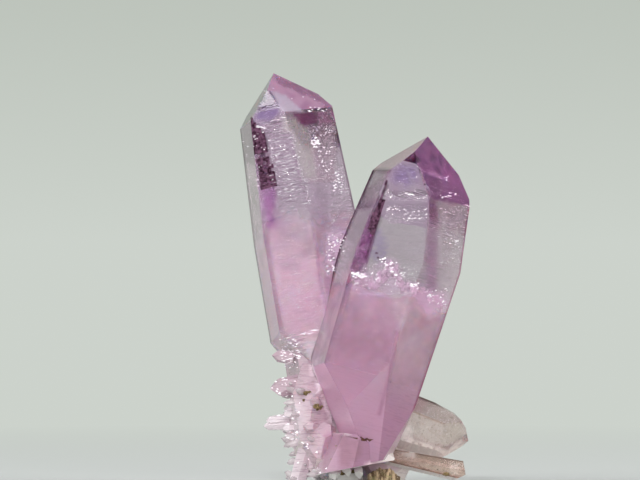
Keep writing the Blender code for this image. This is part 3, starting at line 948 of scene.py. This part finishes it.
def stain_material(name, color, light):
    """Iron and manganese oxides: dull and uneven."""
    shader = Shader(name)
    tone = shader.noise(shader.place_mm(), 3.0, 5.0, 0.7)
    return shader.surface({
        "Base Color": shader.blend(shader.spread(tone, 0.42, 0.64), rgba(color), rgba(light)),
        "Roughness": 0.6,
        "Normal": shader.bump(tone, 0.0003, 0.8),
    })


def mottled_material(name, color, dark):
    """Small wisps and specks inside clear quartz, with nothing between them."""
    shader = Shader(name)
    local = shader.place_mm()
    wisps = shader.spread(shader.noise(local, 1.3, 5.0, 0.65), 0.46, 0.66, 0.0, 0.35)
    specks = shader.spread(shader.noise(local, 3.4, 3.0, 0.6), 0.58, 0.66)
    return shader.surface({
        "Base Color": shader.blend(specks, rgba(color), rgba(dark)),
        "Roughness": 0.5,
        "Alpha": shader.math("MAXIMUM", wisps, shader.math("MULTIPLY", specks, 0.7)),
    })


def rock_material():
    """Brown ribbed rock with olive and pale spots."""
    shader = Shader("iron-stained rock")
    local = shader.place_mm()
    warp = shader.noise(local, 1.4, 4.0)
    ribs = shader.noise(shader.scaled(local, (10.0, 2.0, 2.5)), 0.32, 3.0, 0.6)
    grain = shader.noise(local, 5.0, 5.0, 0.7)
    color = shader.blend(shader.spread(ribs, 0.42, 0.58), rgba((0.12, 0.07, 0.03)), rgba((0.58, 0.42, 0.26)))
    color = shader.blend(shader.spread(warp, 0.52, 0.70), color, rgba((0.34, 0.30, 0.14)))
    color = shader.blend(shader.spread(grain, 0.56, 0.70), color, rgba((0.66, 0.55, 0.40)))
    relief = shader.bump(shader.math("MULTIPLY_ADD", grain, 0.5, ribs), 0.0004, 0.8)
    return shader.surface({"Base Color": color, "Roughness": 0.62, "Normal": relief})


def owners(mesh):
    """Says for each face of the mesh which crystal and which of its faces it lies on."""
    planes = []
    for number, crystal in enumerate(CRYSTALS):
        for index, (point, normal) in enumerate(crystal.faces):
            planes.append((number, index, crystal.place @ (point * MM), crystal.turn @ normal))
    found = {}
    for face in mesh.faces:
        middle = face.calc_center_median()
        for number, index, point, normal in planes:
            if face.normal.dot(normal) > SAME_TURN and abs((middle - point).dot(normal)) < SAME_PLANE * MM:
                found[face] = (number, index)
                break
    return found


def faces_of(mesh, layer, number):
    """The faces of one crystal, or of the root."""
    return [face for face in mesh.faces if face[layer] == number + 1]


def slice_faces(mesh, faces, point, normal):
    """Cuts only these faces along a plane."""
    near = []
    for face in faces:
        sides = [(vertex.co - point).dot(normal) for vertex in face.verts]
        if min(sides) < -1e-6 and max(sides) > 1e-6:
            near.append(face)
    geometry = set(near)
    for face in near:
        geometry.update(face.edges)
        geometry.update(face.verts)
    if geometry:
        bmesh.ops.bisect_plane(mesh, geom=list(geometry), dist=1e-7, plane_co=point, plane_no=normal)


def cut_grid(mesh, number, chance, layer, plane):
    """Cuts a crystal's faces into strips along its edges, growth steps and columns."""
    crystal = CRYSTALS[number]
    turn = crystal.turn
    for start in crystal.belts:
        for side in range(SIDES):
            point, normal = crystal.faces[start + side]
            for inset in EDGE_STRIPS:
                edge = crystal.place @ ((point - normal * inset) * MM)
                mine = faces_of(mesh, layer, number)
                near = [face for face in mine if crystal.side_of(face[plane]) != side]
                slice_faces(mesh, near, edge, turn @ normal)
    heights = []
    height = STEPS_FROM
    while height < STEPS_TO:
        height += chance.uniform(*STEP_SPACING)
        heights.append(height)
    for height in heights:
        for level in (height, height + RISER):
            slice_faces(mesh, faces_of(mesh, layer, number), crystal.place @ (UP * level * MM), turn @ UP)
    for column in range(COLUMNS):
        turned = math.radians(crystal.spin + 180.0 * (column + 0.5) / COLUMNS)
        across = turn @ Vector((math.cos(turned), math.sin(turned), 0.0))
        slice_faces(mesh, faces_of(mesh, layer, number), crystal.place.translation, across)
    return heights


def cut_root(mesh, layer):
    """Cuts the root's faces into small squares, so that they can be painted."""
    for axis in (ACROSS, UP):
        for number in range(-ROOT_CUTS, ROOT_CUTS):
            mine = faces_of(mesh, layer, ROOT_SKIN)
            slice_faces(mesh, mine, axis * ((number + 0.5) * ROOT_PITCH * MM), axis)


def step_depth(local, heights):
    """How far the growth step at this height is moved in, from 0 to 1. It varies along each face."""
    step = 0
    while step < len(heights) and heights[step] < local.z - RISER / 2:
        step += 1
    seed = Vector((local.x * 0.2, local.y * 0.2, step * 5.3))
    return 0.5 + 0.5 * max(-1.0, min(1.0, 1.8 * noise.noise(seed)))


def make_relief(mesh, number, heights, layer, plane):
    """Moves the growth steps of a crystal in by a few hundredths of a millimetre."""
    crystal = CRYSTALS[number]
    moves = {}
    for vertex in mesh.verts:
        mine = [face for face in vertex.link_faces if face[layer] == number + 1]
        if not mine or len(mine) < len(vertex.link_faces):
            continue
        pixel = pixel_of(vertex.co)
        strength = min(line_strength(number, face[plane], face.normal.y < 0.0, pixel) for face in mine)
        if strength <= 0.0:
            continue
        normal = Vector((0.0, 0.0, 0.0))
        for face in mine:
            normal += face.normal
        normal.normalize()
        depth = step_depth(crystal.local(vertex.co), heights)
        moves[vertex] = normal * (-depth * strength * STEP_DEPTH * MM)
    for vertex, move in moves.items():
        vertex.co += move


def line_strength(number, index, front, pixel):
    """How strongly a place of the quartz is marked by growth lines."""
    if number in SIDE_LINES:
        side = CRYSTALS[number].side_of(index)
        strength = SIDE_LINES[number][side] if side >= 0 else OTHER_FACE_LINES
    else:
        strength = SMALL_CRYSTAL_LINES if number >= 0 else ROOT_LINES
    if front:
        for patch in PATCHES:
            if patch.crystal == number and patch.lines is not None:
                strength += (patch.lines - strength) * patch.cover(*pixel)
    return strength


def face_tint(number, index, local):
    """The colour that a face gives to what is seen through it, and how milky it is."""
    if number == RIGHT:
        return right_tint(index, local)
    if number == LEFT:
        return left_tint(index, local)
    if number in SMALL_CRYSTAL_TINTS:
        return SMALL_CRYSTAL_TINTS[number]
    return root_tint(local)


def root_tint(local):
    # Painted light: this part of the root lies in the crystals' shade and is lightened.
    if local.x > 3.2 and local.y < 3.0:
        return LIT_RIGHT_OF_ROOT
    if local.x > -3.4 and local.y < -4.0 and local.z < 7.0:
        return mix(FOOT_TINT, LOW_FRONT_TINT, smooth(local.x, -2.4, -0.6)), 0.55
    pink = smooth(local.z, 10.0, 12.5)
    white = (1.0 - smooth(local.x, -7.6, -4.6)) * (1.0 - pink)
    return mix(mix(ROOT_TINT, ROOT_WHITE, white), ROOT_PINK, pink), 0.55 + 0.15 * white


def right_tint(index, local):
    side = CRYSTALS[RIGHT].side_of(index)
    if index == VIOLET_RHOMB:
        mottle = 0.5 + 0.5 * noise.noise(Vector((local.x * 1.6, local.y * 1.6, local.z * 0.7)))
        return mix(*RIGHT_VIOLET_RHOMB, smooth(mottle, 0.25, 0.85)), 0.22
    if index == BACK_RHOMB:
        return mix(*RIGHT_BACK_RHOMB, 0.5 + 0.5 * noise.noise(local * 0.6)), 0.0
    if index == PALE_RHOMB:
        return RIGHT_PALE_RHOMB, 0.22
    if side < 0 and local.z > 25.0:
        return RIGHT_STEEP_TINT, 0.0
    low = 1.0 - smooth(local.z, 4.5, 19.0)
    # Painted light: the low facets that face left and down are lightened against their shade.
    if index in LOW_LEFT_FACETS:
        return mix(LIT_LOWEST_LEFT_TINT, LIT_LOW_LEFT_TINT, smooth(local.z, 3.0, 6.5)), 0.66
    if side == LEFT_FRONT:
        shaded, clear, milky = RIGHT_SHADED
        top = smooth(local.z, 29.0, 32.0)
        band = 1.0 - smooth(local.z, 17.0, 25.0)
        color = mix(mix(shaded, clear, top), milky, band)
        return color, 0.16 * band + 0.15 * low + 0.14 * top
    if side == RIGHT_FRONT:
        top = smooth(local.z, 27.0, 31.0)
        return mix(RIGHT_SIDE_TINT, LOW_FRONT_TINT, low), 0.45 * low + 0.14 * top
    color = mix(mix(*RIGHT_BODY, 1.0 - smooth(local.z, 20.0, 23.0)), LOW_FRONT_TINT, low)
    # Painted light: the facet that tilts down is lightened a little against its shade.
    if index == LOW_FRONT_FACET:
        color = mix(color, CLEAR_TINT, 0.10)
    elif side == FRONT:
        middle = smooth(local.z, 3.0, 7.0) * (1.0 - smooth(local.z, 12.0, 18.0))
        color = mix(color, MIDDLE_TINT, 0.5 * middle)
    return color, 0.5 * low


def left_tint(index, local):
    side = CRYSTALS[LEFT].side_of(index)
    cloud = 0.5 + 0.5 * noise.noise(local * 0.7)
    if index == VIOLET_RHOMB:
        return mix(*LEFT_VIOLET_RHOMB, smooth(cloud, 0.4, 0.85)), 0.40
    if index == BACK_RHOMB:
        return mix(*LEFT_BACK_RHOMB, cloud), 0.0
    if side == LEFT_FRONT:
        low = 1.0 - smooth(local.z, 24.0, 33.0)
        return mix(*LEFT_SHADED, low), 0.35 * low
    if side < 0 and local.z > 25.0:
        return LEFT_STEEP_TINT, 0.0
    low = 1.0 - smooth(local.z, 12.0, 17.0)
    return mix(*LEFT_BODY, smooth(local.z, 26.0, 32.0)), 0.35 * low


def shade_edges(number, index, local, color):
    """Paints shade on the strip along a silhouette edge, where a thick crystal bends the light away."""
    crystal = CRYSTALS[number]
    side = crystal.side_of(index)
    for own, other, width, dark in EDGE_SHADES[number]:
        if side == own:
            share = 1.0 - smooth(crystal.depth_under(other, local), 0.35 * width, width)
            color = tuple(value * (1.0 + (shade - 1.0) * share) for value, shade in zip(color, dark))
    return color


def paint(mesh, layer, plane):
    """Writes tint, milk, lines and growth onto the corners of the mesh."""
    tint = mesh.loops.layers.float_color.new("tint")
    milk = mesh.loops.layers.float.new("milk")
    lines = mesh.loops.layers.float.new("lines")
    growth = mesh.loops.layers.float_vector.new("growth")
    for face in mesh.faces:
        number = face[layer] - 1
        index = face[plane]
        front = face.normal.y < 0.0
        underside = smooth(-face.normal.z, 0.3, 0.6)
        for corner in face.loops:
            point = corner.vert.co
            local = CRYSTALS[number].local(point) if number >= 0 else point / MM
            pixel = pixel_of(point)
            color, cloud = face_tint(number, index, local)
            if number >= 0:
                color = shade_edges(number, index, local, color)
            # Painted light: undersides low down are lightened and clouded against the shade near the floor.
            under = underside * (1.0 - smooth(point.z / MM, 4.5, 8.0))
            color = mix(color, LIT_UNDERSIDE_TINT, under)
            cloud += (LIT_UNDERSIDE_MILK - cloud) * under
            if front:
                for patch in PATCHES:
                    if patch.crystal == number and patch.color:
                        share = patch.cover(*pixel)
                        color = mix(color, patch.color, share)
                        cloud += (patch.milk - cloud) * share
            corner[tint] = (*(value * value for value in color), 1.0)
            corner[milk] = cloud
            corner[lines] = line_strength(number, index, front, pixel)
            corner[growth] = local


def in_edge_shade(number, index, local):
    """Whether a face lies in the painted shade along the left edge, a dark line that thins out in places."""
    crystal = CRYSTALS[number]
    if crystal.side_of(index) != LEFT_FRONT or local.z < EDGE_SHADE_LOW_END[number]:
        return False
    width = EDGE_SHADE_WIDTHS[number] * (1.0 + 0.5 * noise.noise(Vector((0.0, 3.0, local.z * 0.5))))
    return crystal.depth_under(LEFT_BACK, local) < width


def in_dark_reflection(number, normal, middle):
    """Whether a face lies in one of the nearly black strips of painted dark reflection on the front."""
    if normal.y >= 0.0:
        return False
    pixel = pixel_of(middle)
    return any(patch.black and patch.crystal == number and patch.cover(*pixel) > 0.5 for patch in PATCHES)


def root_places(mesh, layer):
    """The faces of the root that small crystals can grow on: area, normal and corners, in mm."""
    places = []
    for face in faces_of(mesh, layer, ROOT_SKIN):
        middle = face.calc_center_median() / MM
        free = middle.x < ROOT_RIGHT_END and middle.z < ROOT_TOP
        low_front = middle.y < -4.0 and middle.x > -3.2
        if free and not low_front and face.calc_area() > SMALLEST_PLACE * MM ** 2:
            corners = [vertex.co / MM for vertex in face.verts]
            places.append((face.calc_area() / MM ** 2, face.normal.copy(), corners))
    return places


def make_glass():
    """The clear quartz. Returns its surface and the places that small crystals can grow on."""
    mesh = bmesh.new()
    mesh.from_mesh(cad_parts[CLUSTER].data)
    bmesh.ops.remove_doubles(mesh, verts=mesh.verts, dist=1e-6)
    bmesh.ops.dissolve_limit(mesh, angle_limit=math.radians(0.15), verts=mesh.verts, edges=mesh.edges)
    layer = mesh.faces.layers.int.new("owner")
    plane = mesh.faces.layers.int.new("plane")
    for face, (number, index) in owners(mesh).items():
        face[layer] = number + 1
        face[plane] = index
    chance = random.Random(7)
    for number in (SIDE, LOWER_SIDE, RIGHT, LEFT):
        heights = cut_grid(mesh, number, chance, layer, plane)
        make_relief(mesh, number, heights, layer, plane)
    bmesh.ops.triangulate(mesh, faces=[face for face in mesh.faces if len(face.verts) > 4])
    places = root_places(mesh, layer)
    cut_root(mesh, layer)
    paint(mesh, layer, plane)
    # Faces in the painted edge shade and in the darkest strips of painted reflection take the dark second
    # material.
    for number in EDGE_SHADE_WIDTHS:
        for face in faces_of(mesh, layer, number):
            middle = face.calc_center_median()
            local = CRYSTALS[number].local(middle)
            dark = in_edge_shade(number, face[plane], local) or in_dark_reflection(number, face.normal, middle)
            face.material_index = int(dark)
    surface = BVHTree.FromBMesh(mesh)
    glass = finish_piece("amethyst_glass", mesh, glass_material())
    glass.data.materials.append(edge_shade_material())
    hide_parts(CLUSTER)
    return surface, places


def seen_at(surface, column, row):
    """Where a line of sight through a pixel meets the quartz, in mm, and the normal there."""
    place, normal, index, distance = surface.ray_cast(at(column, row, -60.0), INTO_VIEW)
    if place is None:
        return None, None
    return place / MM, normal


def add_point(mesh, foot, direction, radius, length, chance):
    """Adds a small six-sided crystal with a pointed tip, in mm."""
    turn = direction.to_track_quat("Z", "Y").to_matrix()
    spin = chance.uniform(0.0, SECTOR)
    reach = [radius * chance.uniform(0.78, 1.08) for side in range(SIDES)]
    shoulder = [length * chance.uniform(0.50, 0.72) for side in range(SIDES)]

    def corner(side, scale, height):
        angle = math.radians(spin + SECTOR * side)
        ring = reach[side] * scale
        spot = Vector((ring * math.cos(angle), ring * math.sin(angle), height))
        return mesh.verts.new((foot + turn @ spot) * MM)

    low = [corner(side, 1.0, -0.6 * radius) for side in range(SIDES)]
    high = [corner(side, 0.93, shoulder[side]) for side in range(SIDES)]
    shift = Vector((chance.uniform(-0.25, 0.25) * radius, chance.uniform(-0.25, 0.25) * radius, length))
    tip = mesh.verts.new((foot + turn @ shift) * MM)
    mesh.faces.new(list(reversed(low)))
    for side in range(SIDES):
        after = (side + 1) % SIDES
        mesh.faces.new((low[side], low[after], high[after], high[side]))
        mesh.faces.new((high[side], high[after], tip))


def add_fleck(mesh, middle, normal, along, length, width):
    """Adds a thin closed plate with eight facets, in mm."""
    across = normal.cross(along).normalized()
    ends = [mesh.verts.new((middle + along * (s * length / 2)) * MM) for s in (-1, 1)]
    sides = [mesh.verts.new((middle + across * (s * width / 2)) * MM) for s in (-1, 1)]
    faces = [mesh.verts.new((middle + normal * (s * FLECK_THICKNESS / 2)) * MM) for s in (-1, 1)]
    for end in ends:
        for side in sides:
            for face in faces:
                mesh.faces.new((end, side, face))


def make_sparkles(surface):
    chance = random.Random(11)
    mesh = bmesh.new()
    for left, right, top, bottom, count, length, width, depth in SPARKLES:
        for number in range(count):
            place, normal = seen_at(surface, chance.uniform(left, right), chance.uniform(top, bottom))
            if place is None:
                continue
            facing = (HALF_WAY + shake(chance, FLECK_SHAKE)).normalized()
            along = Vector((1.0, 0.0, chance.uniform(-FLECK_SLANT, FLECK_SLANT)))
            along = (along - facing * along.dot(facing)).normalized()
            size = chance.uniform(*FLECK_SIZES)
            middle = place - normal * (depth * chance.uniform(*FLECK_DEPTHS) - FLECK_LIFT)
            add_fleck(mesh, middle, facing, along, length * size, width * size)
    bmesh.ops.recalc_face_normals(mesh, faces=mesh.faces)
    finish_piece("sparkling_flecks", mesh, sparkle_material())


def make_phantom(surface):
    """Small old crystal tips along the top of the milky body, just inside the front."""
    chance = random.Random(23)
    mesh = bmesh.new()
    axis = CRYSTALS[RIGHT].turn @ UP
    for first, second in zip(PHANTOM, PHANTOM[1:]):
        for number in range(PHANTOM_POINTS):
            column, row = mix(first, second, chance.random())
            place, normal = seen_at(surface, column, row + chance.uniform(*PHANTOM_ROWS))
            if place is None:
                continue
            depth = chance.uniform(*PHANTOM_DEPTHS)
            direction = (axis + shake(chance, PHANTOM_SHAKE)).normalized()
            foot = place - normal * depth - axis * 0.5
            radius = chance.uniform(*PHANTOM_RADII)
            add_point(mesh, foot, direction, radius, chance.uniform(*PHANTOM_LENGTHS), chance)
    finish_piece("phantom_tips", mesh, druse_material("phantom quartz", (0.99, 0.86, 0.94), 0.0, 0.25))


def make_druse(places):
    """The crust of small crystals on the root."""
    chance = random.Random(31)
    mesh = bmesh.new()
    areas = [place[0] for place in places]
    for area, normal, corners in chance.choices(places, areas, k=DRUSE_POINTS):
        weights = [chance.random() for corner in corners]
        total = sum(weights)
        foot = Vector((0.0, 0.0, 0.0))
        for corner, weight in zip(corners, weights):
            foot += corner * (weight / total)
        direction = (normal + DRUSE_LEAN + shake(chance, DRUSE_SHAKE)).normalized()
        radius = chance.uniform(*DRUSE_RADII)
        if foot.z < DRUSE_LEVEL_BELOW:
            direction.z = abs(direction.z)
            foot.z = max(foot.z, DRUSE_LOWEST_FOOT)
        add_point(mesh, foot, direction, radius, radius * chance.uniform(*DRUSE_SLENDERNESS), chance)
    for vertex in mesh.verts:
        vertex.co.z = max(vertex.co.z, DRUSE_LOWEST * MM)
    finish_piece("drusy_crust", mesh, druse_material("drusy quartz", (0.99, 0.91, 0.94), 0.6, 0.12))


def lump(mesh, place, size, seed, height=0.55, pitch=1.7, levels=3):
    """Adds a closed lump in mm, with bumps of this height and pitch."""
    made = bmesh.ops.create_icosphere(mesh, subdivisions=levels, radius=1.0)
    for vertex in made["verts"]:
        bumps = 1.0 + height * noise.noise(vertex.co * pitch + Vector((seed, 0.0, 0.0)))
        spot = Vector(a * b * bumps for a, b in zip(vertex.co, size)) + place
        spot.z = max(spot.z, LOWEST_INSIDE)
        vertex.co = spot * MM


def make_stains(surface):
    mesh = bmesh.new()
    for number, (column, row, width, height) in enumerate(STAINS):
        place, normal = seen_at(surface, column, row)
        if place is not None:
            lump(mesh, place, (width, 0.14, height), number * 7.0)
    iron = stain_material("iron stain", (0.10, 0.06, 0.02), (0.34, 0.24, 0.10))
    finish_piece("iron_stains", mesh, iron)
    mesh = bmesh.new()
    for number, (column, row, width, height) in enumerate(SPECKS):
        place, normal = seen_at(surface, column, row)
        lump(mesh, place - normal * 0.06, (width, 0.10, height), (number + 40) * 7.0)
    finish_piece("dark_specks", mesh, stain_material("dark speck", (0.06, 0.02, 0.05), (0.16, 0.06, 0.14)))


def make_crack(surface):
    """The rust-filled crack across the right crystal's foot."""
    mesh = bmesh.new()
    rings = []
    for column, row, width in CRACK:
        place, normal = seen_at(surface, column, row)
        middle = place - normal * 0.02
        rise = UP - normal * UP.dot(normal)
        corners = (rise * width, normal * 0.05, rise * -width, normal * -0.08)
        rings.append([mesh.verts.new((middle + corner) * MM) for corner in corners])
    for ring, after in zip(rings, rings[1:]):
        for side in range(4):
            beyond = (side + 1) % 4
            mesh.faces.new((ring[side], ring[beyond], after[beyond], after[side]))
    mesh.faces.new(list(reversed(rings[0])))
    mesh.faces.new(rings[-1])
    bmesh.ops.subdivide_edges(mesh, edges=mesh.edges, cuts=2, use_grid_fill=True)
    for vertex in mesh.verts:
        vertex.co += UP * 0.05 * MM * noise.noise(vertex.co * 6000.0)
    bmesh.ops.recalc_face_normals(mesh, faces=mesh.faces)
    rust = stain_material("rust", (0.045, 0.008, 0.005), (0.16, 0.05, 0.02))
    finish_piece("rusty_crack", mesh, rust)


def remeshed(name, mesh, material, voxel):
    """A piece whose mesh is made even by a voxel remesh."""
    made = finish_piece(name, mesh, material)
    remesh = made.modifiers.new("even", "REMESH")
    remesh.mode = "VOXEL"
    remesh.voxel_size = voxel * MM
    graph = bpy.context.evaluated_depsgraph_get()
    data = bpy.data.meshes.new_from_object(made.evaluated_get(graph))
    made.modifiers.clear()
    made.data = data
    smooth_faces(data)
    return made


def shaped(made, move):
    """Moves each vertex of a piece by what `move` returns for its place in mm."""
    for vertex in made.data.vertices:
        vertex.co += move(vertex.co / MM) * MM


def keep_above(made, height):
    for vertex in made.data.vertices:
        vertex.co.z = max(vertex.co.z, height * MM)


def make_milky_body(name, crystal, insets, top, rise, hill, material):
    """A milky body that ends in old crystal tips and growth hillocks, highest by `rise` at the hill."""
    made = remeshed(name, crystal.solid(insets, [(UP * top, UP)]), material, BODY_VOXEL)
    up = crystal.turn @ UP

    def move(point):
        local = crystal.local(point * MM)
        near = smooth(local.z, top - 3.0, top)
        peak = max(0.0, 1.0 - math.hypot(local.x - hill[0], local.y - hill[1]) / HILL_RADIUS)
        bumps = noise.noise(local * 0.9) + 0.6 * abs(noise.noise(local * 2.6))
        return up * near * (rise * peak + 0.9 * bumps)

    shaped(made, move)
    return made


def make_milky_bodies():
    """The milky lower parts of the two large crystals, and the cloudy skin round the right one."""
    crystal = CRYSTALS[RIGHT]
    milky = milky_material("right milky quartz", RIGHT_MILK, crystal, fade=(17.6, 21.0), lighter=(9.0, 21.0))
    make_milky_body("right_milky_body", crystal, RIGHT_BODY_INSETS, 20.6, 2.2, RIGHT_HILL, milky)
    cloudy = milky_material("right cloudy quartz", VEIL, crystal, fade=(19.0, 23.5), cover=0.45)
    make_milky_body("right_cloudy_skin", crystal, RIGHT_SKIN_INSETS, 22.0, 2.0, RIGHT_HILL, cloudy)
    milky = milky_material("right foot milky quartz", FOOT_MILK)
    foot = right_foot().solid(even(FOOT_INSET), [(FOOT_END, DOWN)])
    made = remeshed("right_foot_milky_body", foot, milky, FOOT_VOXEL)
    keep_above(made, LOWEST_INSIDE)
    crystal = CRYSTALS[LEFT]
    milky = milky_material("left milky quartz", LEFT_MILK, crystal, fade=(22.0, 33.0), lighter=(8.0, 26.0))
    insets = even(LEFT_BODY_INSET)
    made = make_milky_body("left_milky_body", crystal, insets, 33.0, 2.2, LEFT_HILL, milky)
    keep_above(made, LOWEST_INSIDE)


def make_root_lumps():
    """The milky quartz of the root, inside the clear skin."""
    milky = milky_material("root milky quartz", ROOT_MILK)
    for number, (center, size) in enumerate(ROOT_LUMPS):
        mesh = bmesh.new()
        lump(mesh, Vector(center), size, number * 9.0, height=0.16, pitch=2.3, levels=4)
        made = finish_piece(f"root_milky_lump_{number}", mesh, milky)
        smooth_faces(made.data)


def make_side_clouds():
    """The smoky, mottled insides of the two clear crystals on the right."""
    mottled = mottled_material("smoky wisps", (0.95, 0.82, 0.76), (0.30, 0.26, 0.18))
    for number, name, inset in ((SIDE, "side_wisps_0", 0.35), (LOWER_SIDE, "lower_side_wisps_0", 0.25)):
        made = remeshed(name, CRYSTALS[number].solid(even(inset), []), mottled, WISPS_VOXEL)
        shaped(made, lambda point: UP * 0.3 * noise.noise(point * 0.9))
        keep_above(made, LOWEST_INSIDE)


def make_caps():
    """The faint violet of the two tips."""
    for number, name, low, color, density in CAPS:
        cap = CRYSTALS[number].solid(even(CAP_INSET), [(UP * low, DOWN)])
        finish_piece(f"{name}_violet_tip", cap, cap_material(f"{name} violet zone", color, density))


def make_matrix():
    """The brown ribbed rock under the right crystal."""
    mesh = bmesh.new()
    mesh.from_mesh(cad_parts[MATRIX].data)
    made = remeshed("matrix_rock", mesh, rock_material(), ROCK_VOXEL)

    def move(point):
        away = point - MATRIX_MIDDLE
        fan = math.atan2(away.x, away.z + 2.4)
        rib = abs(math.sin(fan * 9.0 + 0.8 * noise.noise(point * 0.8)))
        rough = noise.noise(point * 2.6) + 0.5 * noise.noise(point * 6.0)
        step = away.normalized() * (0.16 * (rib - 0.6) + 0.10 * rough)
        step.z *= smooth(point.z, 0.0, 0.6)
        return step

    shaped(made, move)
    keep_above(made, 0.0)
    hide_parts(MATRIX)


def set_render():
    scene = bpy.context.scene
    scene.view_settings.view_transform = "Standard"
    scene.cycles.use_denoising = True
    scene.cycles.max_bounces = 32
    scene.cycles.transmission_bounces = 32
    scene.cycles.glossy_bounces = 12
    scene.cycles.diffuse_bounces = 6
    scene.cycles.transparent_max_bounces = 24
    scene.cycles.caustics_reflective = True
    scene.cycles.caustics_refractive = True
    scene.cycles.sample_clamp_indirect = 6.0
    scene.cycles.blur_glossy = 0.3


set_render()
set_camera()
set_world()
set_lights()
make_floor()
SURFACE, ROOT_PLACES = make_glass()
make_milky_bodies()
make_root_lumps()
make_side_clouds()
make_caps()
make_phantom(SURFACE)
make_druse(ROOT_PLACES)
make_stains(SURFACE)
make_crack(SURFACE)
make_sparkles(SURFACE)
make_matrix()
